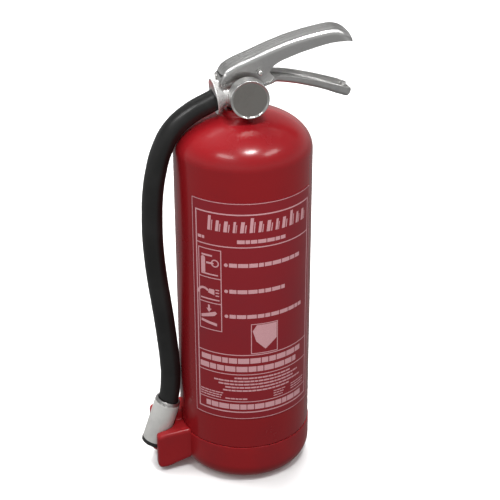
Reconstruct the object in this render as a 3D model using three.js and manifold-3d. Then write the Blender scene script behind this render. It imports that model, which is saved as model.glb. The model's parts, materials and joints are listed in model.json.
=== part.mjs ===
// A portable fire extinguisher with a squeeze-lever valve, a discharge hose and a clipped nozzle.
// Millimetres, +Z up. The origin is the centre of the flat base, the levers point along +X,
// the hose comes down on the -X side, and the label and the valve's front cap face -Y.
import * as THREE from "three";
import { mergeVertices } from "three/addons/utils/BufferGeometryUtils.js";
import Module from "manifold-3d";

const wasm = await Module();
wasm.setup();

// ---- Driving dimensions ----------------------------------------------------------------------

const gap = 0.3; // between pieces that touch
const runningGap = 0.08; // between a shaft and its bearing hole

// Cylinder
const shellRadius = 75;
const shellWall = 1.8;
const shoulderHeight = 388; // where the straight side ends
const domeRise = 43;
const neckBore = 15.3; // radius of the threaded neck
const neckWall = 3.2;
const neckThread = 8; // how far the neck reaches down into the shell
const neckFlangeWidth = 3.5;
const neckFlangeRadius = neckBore + neckWall + neckFlangeWidth;
const neckFlangeTop = shoulderHeight + domeRise + 3; // heights in the head are measured from here

// Plastic foot
const footWall = 2.2;
const footFloor = 2.5;
const footProud = 0.7; // how far the foot stands out of the shell's side
const footSeam = 50; // height of its upper edge
const footCorner = 25;
const shellBottomRise = 28; // depth of the shell's domed bottom end

// Label
const labelHalfAngle = 58;
const labelBottom = footSeam + 39;
const labelTop = shoulderHeight - 32;
const labelThickness = 0.3;
const labelClearance = 0.15;

// Valve
const shankRadius = neckBore - gap;
const shankLength = 34;
const sealThickness = 1.9;
const sealWidth = 1.5;
const baseRadius = neckBore + 2.2;
const baseHeight = 13.5;
const coreHalfWidth = 10;
const coreTop = neckFlangeTop + 30;
const chamberRadius = 6.5;
const springBore = 7;
const seatBore = 4.4;
const seatThickness = 3;
const barrelRadius = 20.2;
const barrelHeight = neckFlangeTop + gap + barrelRadius;
const barrelBack = -(neckFlangeRadius + 1.5);
const barrelLength = 16.1; // with its cap
const capFace = barrelBack - barrelLength;
const capRimWidth = 1.7;
const capRimHeight = 0.9;
const capSpigotRadius = 14;
const capSpigotLength = 8;
const capBoreDepth = 10.5;

// Squeeze lever and carrying handle
const gripWall = 2.2;
const cheekWall = 2;
const cheekClearance = 0.4; // on each side of a cheek
const cheekInner = coreHalfWidth + cheekClearance;
const cheekHalfWidth = cheekInner + cheekWall;
const tailSlot = cheekHalfWidth + cheekClearance;
const gripHalfWidth = tailSlot + gripWall;
const hingeX = -22;
const hingeZ = neckFlangeTop + 32;
const hingePinRadius = 2.5;
const strikerZ = neckFlangeTop + 53; // centre of the rib that presses the stem
const strikerRadius = 3.5;
const strikerHalfWidth = 7;
const crownDrop = 7.5; // how far the lever's side edges lie below its crown
const screwX = -9.5;
const screwZ = neckFlangeTop + 27.7;
const screwRadius = 1.6;
const screwHead = 2.2;

// Stem, poppet and spring
const stemRadius = 2.5;
const poppetRadius = 6;
const poppetHeight = 4;
const sealDisc = 1.8;
const springWire = 0.8;
const springCoil = 4.6;
const springTurns = 5;
const springHeight = 15;

// Gland nut
const nutRadius = 6.2;
const nutHead = 7.6;
const nutDepth = 4;

// Siphon
const siphonRadius = 6;
const siphonWall = 1.4;
const siphonBottom = 14;
const adapterBore = 3;
const adapterFlange = 3;
const adapterSpigot = 12;

// Safety pin
const pinX = 14.8;
const pinZ = neckFlangeTop + 42.1;
const pinRadius = 3;
const pinReach = 4; // how far the ball stands out of the lever's side
const pinHead = 2.8;
const ringRadius = 13;
const ringWire = 1.1;
const eyeRadius = 4.4;
const eyeBore = 2.2;
const eyeThickness = 3;

// Hose side: everything lies in one vertical plane through the cylinder's axis
const hosePlane = 3; // degrees towards the front from -X
const hoseRadius = 11.5;
const outletDrop = 8; // degrees below the horizontal
const collarLength = 17;
const collarSocket = 10; // depth of the cup that the hose enters
const collarMouth = hoseRadius + 8;
const collarWaist = 11.4;
const collarWall = 1;
const collarClearance = 0.6;
const nippleRadius = 5.5;
const nippleBore = 3.5;
const nozzleTilt = 18.5; // degrees outwards from the vertical
const nozzleBore = hoseRadius + 0.9;
const nozzleWall = 2.6;
const nozzleRadius = nozzleBore + nozzleWall;
const nozzleLength = 54.5;
const nozzleTipLength = 4.5;
const jetBore = 4.5;
const socketDepth = 16; // how deep the hose sits in the nozzle
const nozzleStandOff = 0.6; // between the nozzle's rim and the shell, measured level
const clipClearance = 0.9;
const prongWidth = 10.1;
const clipHalfWidth = nozzleRadius + clipClearance + prongWidth;
const clipReach = shellRadius + nozzleRadius + 19.5;
const clipBottom = 5;
const clipTop = footSeam + 1.5;
const backProngRise = 14; // how much taller the prong at the back is
const clipMouth = nozzleRadius - 2; // half the width of the slot that the nozzle is pressed through

// ---- Finishes --------------------------------------------------------------------------------

const finish = (color, roughness, metalness) => ({ color, roughness, metalness });
const redPaint = finish(0x8e1418, 0.3, 0);
const redPlastic = finish(0x861519, 0.45, 0);
const labelFilm = finish(0x7c2228, 0.5, 0);
const satinMetal = finish(0xa8a9aa, 0.35, 1);
const brightSteel = finish(0xd0d0d0, 0.2, 1);
const brass = finish(0xb08d4a, 0.35, 1);
const springSteel = finish(0x8a8c90, 0.3, 1);
const blackRubber = finish(0x1d1d1b, 0.7, 0);
const whitePlastic = finish(0xd8d6cf, 0.5, 0);

// ---- Solid helpers ---------------------------------------------------------------------------

function solid(geometry) {
  const bare = geometry.index ? geometry.toNonIndexed() : geometry.clone();
  bare.deleteAttribute("normal");
  bare.deleteAttribute("uv");
  const merged = mergeVertices(bare, 1e-4);
  const made = new wasm.Manifold(
    new wasm.Mesh({
      numProp: 3,
      vertProperties: merged.attributes.position.array,
      triVerts: new Uint32Array(merged.index.array),
    }),
  );
  return made;
}

function geometryOf(manifold) {
  const mesh = manifold.getMesh();
  return new THREE.BufferGeometry()
    .setAttribute("position", new THREE.BufferAttribute(mesh.vertProperties, 3))
    .setIndex(new THREE.BufferAttribute(mesh.triVerts, 1));
}

const assembly = new THREE.Group();
const hoseSide = new THREE.Group();
hoseSide.rotation.z = THREE.MathUtils.degToRad(hosePlane);
assembly.add(hoseSide);

function piece(name, shape, look, parent = assembly) {
  const geometry = shape.isBufferGeometry ? shape : geometryOf(shape);
  const mesh = new THREE.Mesh(geometry, new THREE.MeshStandardMaterial(look));
  mesh.name = name;
  parent.add(mesh);
  return mesh;
}

// An outline whose heights are measured from the top of the neck's flange.
const onHead = (outline) => outline.map(([x, up]) => [x, neckFlangeTop + up]);

// An outline of [x, z] points, drawn out along Y between two values.
function plate(outline, fromY, toY) {
  const shape = new THREE.Shape(outline.map(([x, z]) => new THREE.Vector2(x, z)));
  const geometry = new THREE.ExtrudeGeometry(shape, { depth: toY - fromY, bevelEnabled: false });
  geometry.rotateX(Math.PI / 2);
  geometry.translate(0, toY, 0);
  return geometry;
}

// A flat outline of [x, y] points, raised between two heights.
function slab(outline, fromZ, toZ) {
  const shape = new THREE.Shape(outline.map(([x, y]) => new THREE.Vector2(x, y)));
  const geometry = new THREE.ExtrudeGeometry(shape, { depth: toZ - fromZ, bevelEnabled: false });
  return geometry.translate(0, 0, fromZ);
}

// A profile of [radius, height] points, turned about Z. It runs up the outside first.
function turned(profile, segments = 28) {
  const points = profile.map(([r, z]) => new THREE.Vector2(r, z));
  const geometry = new THREE.LatheGeometry(points, segments);
  return geometry.rotateX(Math.PI / 2);
}

// A ring of rectangular section about Z.
function washer(inner, outer, fromZ, toZ, segments = 28) {
  return turned(
    [[inner, fromZ], [outer, fromZ], [outer, toZ], [inner, toZ], [inner, fromZ]],
    segments,
  );
}

function post(radius, fromZ, toZ, x = 0, y = 0, segments = 28) {
  const geometry = new THREE.CylinderGeometry(radius, radius, toZ - fromZ, segments);
  geometry.rotateX(Math.PI / 2);
  return geometry.translate(x, y, (fromZ + toZ) / 2);
}

function rod(radius, fromY, toY, x, z, segments = 24) {
  const geometry = new THREE.CylinderGeometry(radius, radius, toY - fromY, segments);
  return geometry.translate(x, (fromY + toY) / 2, z);
}

function block(x0, x1, y0, y1, z0, z1) {
  const geometry = new THREE.BoxGeometry(x1 - x0, y1 - y0, z1 - z0);
  return geometry.translate((x0 + x1) / 2, (y0 + y1) / 2, (z0 + z1) / 2);
}

const mirrored = (outline) => [...outline, ...outline.map(([x, y]) => [x, -y]).reverse()];

// Points on a smooth curve through the given [x, z] points.
function smooth(points, count) {
  const curve = new THREE.SplineCurve(points.map(([x, z]) => new THREE.Vector2(x, z)));
  return curve.getPoints(count).map((p) => [p.x, p.y]);
}

// A section of [side, up] points, swept along [x, z] points that run towards -X.
function swept(section, route, steps) {
  const shape = new THREE.Shape(section.map(([side, up]) => new THREE.Vector2(side, up)));
  const extrudePath = new THREE.CatmullRomCurve3(
    route.map(([x, z]) => new THREE.Vector3(x, 0, z)),
  );
  return new THREE.ExtrudeGeometry(shape, { steps, extrudePath, bevelEnabled: false });
}

function circle(radius, sides) {
  return Array.from({ length: sides }, (_, i) => {
    const angle = (2 * Math.PI * i) / sides;
    return [radius * Math.cos(angle), radius * Math.sin(angle)];
  });
}

const domeAt = (r) => {
  const share = Math.min(1, r / shellRadius);
  return shoulderHeight + domeRise * Math.sqrt(1 - share * share);
};

// The collar's mouth clears both the dome and the neck's flange: [distance out, height].
const outletAngle = THREE.MathUtils.degToRad(outletDrop);
const mouthOut = neckFlangeRadius + collarMouth - 10.5;
const lipOut = mouthOut - collarMouth * Math.sin(outletAngle);
const mouth = [mouthOut, domeAt(lipOut) + collarMouth * Math.cos(outletAngle) + collarClearance];

// Moves a piece turned about Z so that its height axis points out of the valve's outlet,
// with height 0 at the collar's mouth.
function onOutlet(geometry) {
  geometry.rotateY(THREE.MathUtils.degToRad(-90 - outletDrop));
  return geometry.translate(-mouth[0], 0, mouth[1]);
}

// Turns a shape from the X-Z plane into the plane that the hose lies in.
const hoseTurn = new THREE.Matrix4().makeRotationZ(THREE.MathUtils.degToRad(hosePlane));
const inHosePlane = (geometry) => geometry.applyMatrix4(hoseTurn);

// Moves a piece turned about Z so that height 0 is the nozzle's upper rim and +Z points up it.
const rimCentre = [shellRadius + nozzleRadius + nozzleStandOff, footSeam + 34];
function onNozzle(geometry) {
  geometry.rotateY(THREE.MathUtils.degToRad(nozzleTilt));
  return geometry.translate(-rimCentre[0], 0, rimCentre[1]);
}

// ---- Cylinder --------------------------------------------------------------------------------

const neckHole = neckBore + neckWall + gap;
const footOuter = shellRadius + footProud;
const footRadius = footOuter - footWall - gap;
const shellBottom = footFloor + gap;
const shellStep = footSeam + gap;
const stepRise = 1.2;

function domeArc(inset, steps) {
  const radius = shellRadius - inset;
  const end = Math.asin(neckHole / radius);
  return Array.from({ length: steps + 1 }, (_, i) => {
    const angle = Math.PI / 2 + ((end - Math.PI / 2) * i) / steps;
    const r = i === steps ? neckHole : radius * Math.sin(angle);
    return [r, shoulderHeight + (domeRise - inset) * Math.cos(angle)];
  });
}

function bottomArc(inset, steps) {
  return Array.from({ length: steps + 1 }, (_, i) => {
    const angle = (Math.PI / 2) * (i / steps);
    const radius = footRadius - inset;
    const rise = shellBottomRise - inset;
    return [radius * Math.sin(angle), shellBottom + shellBottomRise - rise * Math.cos(angle)];
  });
}

const shellProfile = [
  ...bottomArc(0, 4),
  [footRadius, shellStep],
  [shellRadius, shellStep + stepRise],
  ...domeArc(0, 10),
  ...domeArc(shellWall, 5).reverse(),
  [shellRadius - shellWall, shellStep + stepRise + shellWall],
  [footRadius - shellWall, shellStep + shellWall / 2],
  ...bottomArc(shellWall, 3).reverse(),
];
piece("cylinder_shell", turned(shellProfile, 64), redPaint);

const flangeSeat = domeAt(neckHole) + gap;
const neckRingProfile = [
  [neckBore, flangeSeat - neckThread],
  [neckBore + neckWall, flangeSeat - neckThread],
  [neckBore + neckWall, flangeSeat],
  [neckFlangeRadius, flangeSeat],
  [neckFlangeRadius, neckFlangeTop - 1],
  [neckFlangeRadius - 1, neckFlangeTop],
  [neckBore, neckFlangeTop],
  [neckBore, flangeSeat - neckThread],
];
piece("neck_ring", turned(neckRingProfile, 36), redPaint);

const sealBottom = neckFlangeTop + gap;
piece(
  "neck_seal",
  washer(neckBore, neckBore + sealWidth, sealBottom, sealBottom + sealThickness, 36),
  blackRubber,
);

// ---- Foot with the nozzle clip ---------------------------------------------------------------

function cornerArc(radius, corner, floor, steps) {
  return Array.from({ length: steps + 1 }, (_, i) => {
    const angle = (Math.PI / 2) * (i / steps);
    return [
      radius - corner + corner * Math.sin(angle),
      floor + corner - corner * Math.cos(angle),
    ];
  });
}
const footInner = footOuter - footWall;
const footChamfer = 0.6;
const footProfile = [
  [0, 0],
  ...cornerArc(footOuter, footCorner, 0, 6),
  [footOuter, footSeam - footChamfer],
  [footOuter - footChamfer, footSeam],
  [footInner, footSeam],
  ...cornerArc(footInner, footCorner - footWall, footFloor, 4).reverse(),
  [0, footFloor],
];
const footCup = solid(turned(footProfile, 64));
const footFill = solid(
  turned([[0, 0], ...cornerArc(footOuter, footCorner, 0, 6), [footOuter, 90], [0, 90]], 64),
);

const clipRoot = shellRadius - 25; // the prongs are drawn from inside the foot, then cut to it
const clipTip = 7; // corner radius of the prongs' outer ends
const clipPlan = mirrored([
  [-clipRoot, clipHalfWidth],
  [-(clipReach - clipTip), clipHalfWidth],
  [-(clipReach - clipTip * 0.4), clipHalfWidth - clipTip * 0.25],
  [-clipReach, clipHalfWidth - clipTip],
]);
// Side view of the prongs: the underside rises towards the foot, and so does the top
const clipSide = (top) => [
  [-clipRoot, clipBottom + 12],
  [-(shellRadius - 3), clipBottom + 9],
  [-(clipReach - 24), clipBottom + 2],
  [-(clipReach - 9), clipBottom],
  [-(clipReach - 3), clipBottom + 3],
  [-(clipReach + 1), clipBottom + 9],
  [-(clipReach + 1), top - 6],
  [-(clipReach - 2), top - 3],
  [-clipRoot, top + 4],
];
const below = -nozzleLength - 60;
const above = 30;
const socket = solid(onNozzle(post(nozzleRadius + clipClearance, below, above, 0, 0, 32)));
const slot = solid(onNozzle(block(-80, 0, -clipMouth, clipMouth, below, above)));
const clipSides = solid(plate(clipSide(clipTop), -clipHalfWidth - 1, 0))
  .add(solid(plate(clipSide(clipTop + backProngRise), 0, clipHalfWidth + 1)));
const prongs = solid(slab(clipPlan, clipBottom, clipTop + backProngRise + 4))
  .intersect(clipSides)
  .subtract(footFill)
  .subtract(socket)
  .subtract(slot)
  .decompose()
  .map((prong) => solid(inHosePlane(geometryOf(prong))));
// A web under the nozzle joins the prongs' roots to the foot's wall
const webPlan = mirrored([
  [-(shellRadius - 14), clipHalfWidth + 1],
  [-(shellRadius - 2), clipHalfWidth - 1],
]);
const footCore = solid(
  turned([[0, -1], [footOuter - 0.9, -1], [footOuter - 0.9, 90], [0, 90]], 64),
);
const web = solid(inHosePlane(slab(webPlan, clipBottom + 13, footSeam - 1))).subtract(footCore);
const foot = prongs.reduce((sum, prong) => sum.add(prong), footCup.add(web));
piece("foot_boot", foot, redPlastic);

// ---- Label -----------------------------------------------------------------------------------

const labelInner = shellRadius + labelClearance;
function labelOutline(steps) {
  const half = THREE.MathUtils.degToRad(labelHalfAngle);
  const front = -Math.PI / 2;
  const arc = (radius, from, to) =>
    Array.from({ length: steps + 1 }, (_, i) => {
      const angle = front + from + ((to - from) * i) / steps;
      return [radius * Math.cos(angle), radius * Math.sin(angle)];
    });
  return [
    ...arc(labelInner + labelThickness, -half, half),
    ...arc(labelInner, half, -half),
  ];
}
piece("label", slab(labelOutline(40), labelBottom, labelTop), labelFilm);

// ---- Valve body ------------------------------------------------------------------------------

const baseBottom = sealBottom + sealThickness + gap;
const shankBottom = baseBottom - shankLength;
const seatTop = baseBottom - 3;
const seatBottom = seatTop - seatThickness;
// The core, with the lug that carries the hinge pin
const coreBottom = neckFlangeTop + 14;
const lugRadius = 4.2;
const coreOutline = [
  [-14, coreBottom],
  [15, coreBottom],
  [15, coreTop],
  [-11, coreTop],
  [hingeX + lugRadius * 0.8, hingeZ + lugRadius],
  [hingeX - lugRadius * 0.8, hingeZ + lugRadius],
  [hingeX - lugRadius, hingeZ],
  [hingeX - lugRadius * 0.7, hingeZ - lugRadius * 0.9],
];
const capBore = capSpigotRadius + gap;
const capBackFace = capFace + capRimHeight + 0.9;
const barrelFront = capBackFace + gap;
const passage = 2.6; // radius of the drilling from the cap's chamber to the valve's
const passageHeight = baseBottom + 14;
const outletBoss = 9.5;
const nippleFoot = -mouth[0] + 10;
const nippleHole = nippleRadius + gap;
// The collar is a bell: a waist round the nipple, and a cup that opens to the mouth
const collarOutside = [
  [collarWaist - 1, -collarLength],
  [collarWaist, -collarLength + 1],
  [collarWaist + 0.6, -9.5],
  [collarMouth - 4.9, -6],
  [collarMouth - 2.7, -3],
  [collarMouth - 0.5, -1],
  [collarMouth, 0],
];
// What is cut away round the collar
const collarRelief = [
  [0, -collarLength - gap],
  ...collarOutside.map(([r, z]) => [r + 2 * gap, z]),
  [collarMouth + 2 * gap, 20],
  [0, 20],
];
const collarSpace = solid(inHosePlane(onOutlet(turned(collarRelief, 40))));

const rawBody = solid(post(shankRadius, shankBottom, baseBottom + 1, 0, 0, 36))
  .add(solid(post(baseRadius, baseBottom, baseBottom + baseHeight, 0, 0, 36)))
  .add(solid(plate(coreOutline, -coreHalfWidth, coreHalfWidth)))
  .add(solid(rod(barrelRadius, barrelFront, barrelBack, 0, barrelHeight, 48)))
  .add(solid(rod(outletBoss, barrelBack - 1, 0, 0, baseBottom + 10, 24)))
  .add(solid(inHosePlane(onOutlet(post(outletBoss, -mouth[0], -collarLength - gap)))));
const boredBody = rawBody
  .subtract(collarSpace)
  .subtract(solid(post(chamberRadius, seatTop, coreTop + 1)))
  .subtract(solid(post(seatBore, seatBottom - 1, seatTop + 1, 0, 0, 24)))
  .subtract(solid(post(springBore, shankBottom - 1, seatBottom)))
  .subtract(solid(inHosePlane(onOutlet(post(nippleHole, nippleFoot - 7, 0)))))
  .subtract(solid(rod(capBore, barrelFront - 1, barrelFront + capBoreDepth, 0, barrelHeight, 32)))
  .subtract(solid(rod(passage, barrelFront + capBoreDepth - 1, -4, 0, passageHeight, 16)))
  .subtract(solid(rod(hingePinRadius + runningGap, -gripHalfWidth, gripHalfWidth, hingeX, hingeZ)));

// ---- Front cap -------------------------------------------------------------------------------

const capRadius = barrelRadius + 0.3;
const capEnd = capBackFace + capSpigotLength;
const capProfile = [
  [0, capFace + capRimHeight],
  [capRadius - capRimWidth - 0.5, capFace + capRimHeight],
  [capRadius - capRimWidth, capFace],
  [capRadius - 0.4, capFace],
  [capRadius, capFace + 0.4],
  [capRadius, capBackFace],
  [capSpigotRadius, capBackFace],
  [capSpigotRadius, capEnd],
  [0, capEnd],
];
// A profile of [radius, y] points turned about the barrel's axis.
const aboutBarrel = (geometry) => geometry.rotateX(-Math.PI / 2).translate(0, 0, barrelHeight);
piece("front_cap", aboutBarrel(turned(capProfile, 48)), satinMetal);
const capSealWidth = 5.5;
const capSealThickness = 1.8;
piece(
  "cap_seal",
  aboutBarrel(washer(
    capSpigotRadius - 0.5 - capSealWidth,
    capSpigotRadius - 0.5,
    capEnd + gap,
    capEnd + gap + capSealThickness,
  )),
  blackRubber,
);

// ---- Stem, gland, poppet and spring ----------------------------------------------------------

const nutTop = coreTop + gap + nutDepth;
const nutBottom = coreTop - nutDepth;
const glandNut = solid(post(nutRadius, nutBottom, coreTop + 1, 0, 0, 24))
  .add(solid(post(nutHead, coreTop + gap, nutTop, 0, 0, 6)))
  .subtract(solid(post(stemRadius + runningGap, nutBottom - 1, nutTop + 1, 0, 0, 24)));
piece("stem_nut", glandNut, brass);
piece(
  "stem_seal",
  washer(stemRadius + gap, chamberRadius - 0.7, nutBottom - gap - 2, nutBottom - gap),
  blackRubber,
);

const poppetTop = seatBottom - gap - sealDisc - gap;
const poppetBottom = poppetTop - poppetHeight;
const stemTop = strikerZ - strikerRadius - gap;
const stemButton = stemRadius + 0.9;
const stemProfile = [
  [0, poppetBottom],
  [poppetRadius - 1, poppetBottom],
  [poppetRadius, poppetBottom + 1],
  [poppetRadius, poppetTop],
  [stemRadius, poppetTop],
  [stemRadius, stemTop - 2],
  [stemButton, stemTop - 1.6],
  [stemButton, stemTop - 0.6],
  [stemRadius - 0.2, stemTop],
  [0, stemTop],
];
piece("valve_stem", turned(stemProfile, 24), brightSteel);
piece(
  "poppet_seal",
  washer(stemRadius + gap, poppetRadius, poppetTop + gap, poppetTop + gap + sealDisc, 24),
  blackRubber,
);

const springTop = poppetBottom - gap;
const springBottom = springTop - springHeight;
class Helix extends THREE.Curve {
  getPoint(t) {
    const angle = 2 * Math.PI * springTurns * t;
    const height = springBottom + springWire + (springHeight - 2 * springWire) * t;
    return new THREE.Vector3(springCoil * Math.cos(angle), springCoil * Math.sin(angle), height);
  }
}
const wireSection = new THREE.Shape(
  circle(springWire, 5).map(([x, y]) => new THREE.Vector2(x, y)),
);
piece(
  "valve_spring",
  new THREE.ExtrudeGeometry(wireSection, {
    steps: springTurns * 10,
    extrudePath: new Helix(),
    bevelEnabled: false,
  }),
  springSteel,
);

// ---- Siphon ----------------------------------------------------------------------------------

const adapterTop = springBottom - gap;
const siphonInner = siphonRadius - siphonWall;
const adapterSeat = shankBottom - adapterFlange;
const adapterProfile = [
  [adapterBore, adapterSeat - adapterSpigot],
  [siphonInner - gap, adapterSeat - adapterSpigot],
  [siphonInner - gap, adapterSeat],
  [siphonRadius + 4, adapterSeat],
  [siphonRadius + 4, shankBottom - gap],
  [springBore - gap, shankBottom - gap],
  [springBore - gap, adapterTop],
  [adapterBore, adapterTop],
  [adapterBore, adapterSeat - adapterSpigot],
];
piece("siphon_adapter", turned(adapterProfile, 24), brass);
piece(
  "siphon_tube",
  washer(siphonInner, siphonRadius, siphonBottom, adapterSeat - gap, 20),
  whitePlastic,
);

// ---- Squeeze lever ---------------------------------------------------------------------------

// Side view of the crown, from the closed nose round to the tail behind the hinge
const crown = onHead([
  [117, 64.8], [114.8, 70.6], [109.8, 76.8], [103, 81.2], [96, 83.2], [88, 82.9],
  [75, 80.8], [60, 77.7], [46, 74], [32, 69.4], [20, 64.9], [10, 60.9], [0, 57],
  [-10, 53.2], [-17.4, 49.2], [-22.6, 45.2], [-25.6, 39.5], [-26.4, 33.5], [-25, 28],
]);
// The sides' lower edge: the tail, the arch over the barrel, the pin's lobe and the grip
const lowerEdge = onHead([
  [-22, 27.2], [-19, 29.6], [-16.2, 33.2], [-11.5, 36.8], [-4.6, 38.8], [1.5, 38.2],
  [5.5, 35.2], [8.6, 31.6], [12.6, 29.6], [16.8, 30.6], [20.3, 34.4], [24, 38.7],
  [27.3, 43], [30.2, 46.6], [34.4, 49.8], [45, 54.4], [60, 59.3], [75, 63.4],
  [87, 66.2], [95, 67.2], [105, 67.6], [113, 66.2],
]);
const leverOutline = [...lowerEdge, ...smooth(crown, 32)];
const underCrown = (depth) => crown.map(([x, z], i) => {
  const before = crown[Math.max(0, i - 1)];
  const after = crown[Math.min(crown.length - 1, i + 1)];
  const run = [after[0] - before[0], after[1] - before[1]];
  const length = Math.hypot(run[0], run[1]);
  return [x - (run[1] / length) * depth, z + (run[0] / length) * depth];
});
// The space under the crown, at a given depth, open at the bottom
const hollowOutline = (depth) => [
  ...onHead([[-60, 6], [113, 6], [113, 66]]),
  ...smooth(underCrown(depth).slice(2, 15), 20),
  ...onHead([[-19.6, 40], [-20.4, 34], [-60, 27]]),
];
// What is taken off the crown's shoulders to round them
const edgeCutter = [
  [gripHalfWidth - 7, -0.4], [gripHalfWidth - 3.5, -2.2], [gripHalfWidth - 1.2, -4.6],
  [gripHalfWidth, -crownDrop], [gripHalfWidth + 4, -crownDrop], [gripHalfWidth + 4, 3],
  [gripHalfWidth - 7, 3],
];
const cutterRoute = [...onHead([[117.5, 58]]), ...crown, ...onHead([[-22.5, 23]])];
const leverPlan = mirrored([
  [-40, gripHalfWidth], [108, gripHalfWidth], [112.5, gripHalfWidth - 1.2],
  [115.6, gripHalfWidth - 4.2], [117.2, gripHalfWidth - 8.5],
]);
const otherSide = (section) => section.map(([side, up]) => [-side, up]).reverse();
const hollowSide = gripHalfWidth - gripWall;
const ribSide = gripHalfWidth - 7; // the crown is thickest beyond this
const headBottom = neckFlangeTop + 6;
const headTop = neckFlangeTop + 106;
const crossHole = (radius, x, z) => solid(rod(radius, -gripHalfWidth - 5, gripHalfWidth + 5, x, z));
const lever = solid(plate(leverOutline, -gripHalfWidth, gripHalfWidth))
  .subtract(solid(swept(edgeCutter, cutterRoute, 36)))
  .subtract(solid(swept(otherSide(edgeCutter), cutterRoute, 36)))
  .intersect(solid(slab(leverPlan, headBottom, headTop)))
  .subtract(solid(plate(hollowOutline(crownDrop - 1), -hollowSide, hollowSide)))
  .subtract(solid(plate(hollowOutline(gripWall + 0.4), -ribSide, ribSide)))
  .subtract(solid(block(-40, hingeX + 4, -tailSlot, tailSlot, headBottom, hingeZ + 8)))
  .add(solid(rod(strikerRadius, -strikerHalfWidth, strikerHalfWidth, 0, strikerZ, 20)))
  .add(solid(block(
    -strikerRadius, strikerRadius, -strikerHalfWidth, strikerHalfWidth, strikerZ, strikerZ + 1.5,
  )))
  .subtract(crossHole(hingePinRadius + runningGap, hingeX, hingeZ))
  .subtract(crossHole(pinRadius + gap, pinX, pinZ));
piece("squeeze_lever", lever, satinMetal);

// ---- Carrying handle -------------------------------------------------------------------------

const handleTop = onHead([
  [20, 25.6], [24, 27.4], [31.5, 33.2], [31.5, 35.7], [45.3, 34], [60.3, 31], [75.5, 27.1],
  [90.8, 22.8], [104, 18.6], [114, 15.4],
]);
const handleBottom = onHead([
  [116.5, 11], [111.3, 6.3], [98.7, 10.5], [83.3, 16.4], [68, 21.1], [52.9, 25], [30.4, 28.3],
  [20, 24],
]);
const channelFloor = handleBottom.slice(1, 6).reverse().map(([x, z]) => [x - 0.6, z + gripWall]);
const channelOutline = [
  ...onHead([[36, 46], [36, 30.2]]), ...channelFloor, ...onHead([[111.5, 10], [112.5, 46]]),
];
const handlePlan = mirrored([
  [10, gripHalfWidth], [107, gripHalfWidth], [112, gripHalfWidth - 1.6],
  [115, gripHalfWidth - 4.6], [116.6, gripHalfWidth - 9],
]);
// The inner cheeks that straddle the valve, with an open notch for the safety pin
const cheekOutline = onHead([
  [-27, 27.2], [-20, 26.8], [-13, 25.4], [12, 25.4], [20, 24], [31.5, 27.4], [31.5, 33.6],
  [28.4, 36.2], [26.2, 40], [24.6, 43.2], [20.2, 44], [20.2, 34], [18.6, 31.2], [12.6, 31.2],
  [11, 34], [11, 40.6], [-8, 40.6], [-19, 38.4], [-24.5, 37.6], [-27.6, 34.6],
]);
const screwHole = crossHole(screwRadius + runningGap, screwX, screwZ);
const handle = solid(plate([...handleTop, ...handleBottom], -gripHalfWidth, gripHalfWidth))
  .intersect(solid(slab(handlePlan, neckFlangeTop - 14, headTop)))
  .subtract(solid(plate(channelOutline, -hollowSide, hollowSide)))
  .add(solid(plate(cheekOutline, -cheekHalfWidth, cheekHalfWidth)))
  .subtract(solid(block(-40, 18, -cheekInner, cheekInner, headBottom, headTop)))
  .subtract(solid(block(10, 36.5, -cheekInner, cheekInner, neckFlangeTop + 30.2, headTop)))
  .subtract(crossHole(hingePinRadius + runningGap, hingeX, hingeZ))
  .subtract(screwHole)
  .subtract(collarSpace);
piece("carry_handle", handle, satinMetal);
piece("valve_body", boredBody.subtract(screwHole), satinMetal);

// A cross screw holds the cheeks to the valve's core
const headSeat = -cheekHalfWidth - 0.2;
const screw = solid(rod(screwRadius, headSeat - 0.1, cheekHalfWidth - 0.2, screwX, screwZ))
  .add(solid(rod(screwHead, headSeat - 0.9, headSeat - 0.1, screwX, screwZ, 20)));
piece("handle_screw", screw, brightSteel);

// ---- Hinge pin -------------------------------------------------------------------------------

const hingeEnd = gripHalfWidth - 0.3; // the pin is ground flush with the lever's sides
piece("hinge_pin", rod(hingePinRadius, -hingeEnd, hingeEnd, hingeX, hingeZ), brightSteel);

// ---- Safety pin and pull ring ----------------------------------------------------------------

const ballY = -gripHalfWidth - pinReach;
const headFront = gripHalfWidth + 0.6;
const headBack = headFront + pinHead;
const eyeY = headBack + eyeRadius - 0.5;
const eyeDisc = (radius, thickness) => solid(
  new THREE.CylinderGeometry(radius, radius, thickness, 24)
    .rotateZ(Math.PI / 2)
    .translate(pinX, eyeY, pinZ),
);
const safetyPin = solid(rod(pinRadius, ballY, headBack, pinX, pinZ, 20))
  .add(solid(new THREE.SphereGeometry(pinRadius, 16, 8).translate(pinX, ballY, pinZ)))
  .add(solid(rod(pinRadius + 2, headFront, headBack, pinX, pinZ, 24)))
  .add(eyeDisc(eyeRadius, eyeThickness))
  .subtract(eyeDisc(eyeBore, eyeThickness + 2));
piece("safety_pin", safetyPin, brightSteel);
const ring = new THREE.TorusGeometry(ringRadius, ringWire, 6, 32).rotateX(Math.PI / 2);
piece("pull_ring", ring.translate(pinX, eyeY, pinZ - ringRadius), brightSteel);

// ---- Outlet, collar and hose -----------------------------------------------------------------

const nippleEnd = -collarSocket + 5;
piece(
  "hose_nipple",
  onOutlet(washer(nippleBore, nippleRadius, nippleFoot, nippleEnd, 24)),
  brass,
  hoseSide,
);
const collarProfile = [
  [nippleHole, -collarLength],
  ...collarOutside,
  [collarMouth - 1, 0.4],
  [collarMouth - 2, -1],
  [collarMouth - 3.7, -3],
  [collarMouth - 4.9 - collarWall, -6],
  [collarWaist + 0.6 - collarWall, -collarSocket + 0.5],
  [nippleHole, -collarSocket],
  [nippleHole, -collarLength],
];
piece("hose_collar", onOutlet(turned(collarProfile, 40)), satinMetal, hoseSide);

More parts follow.
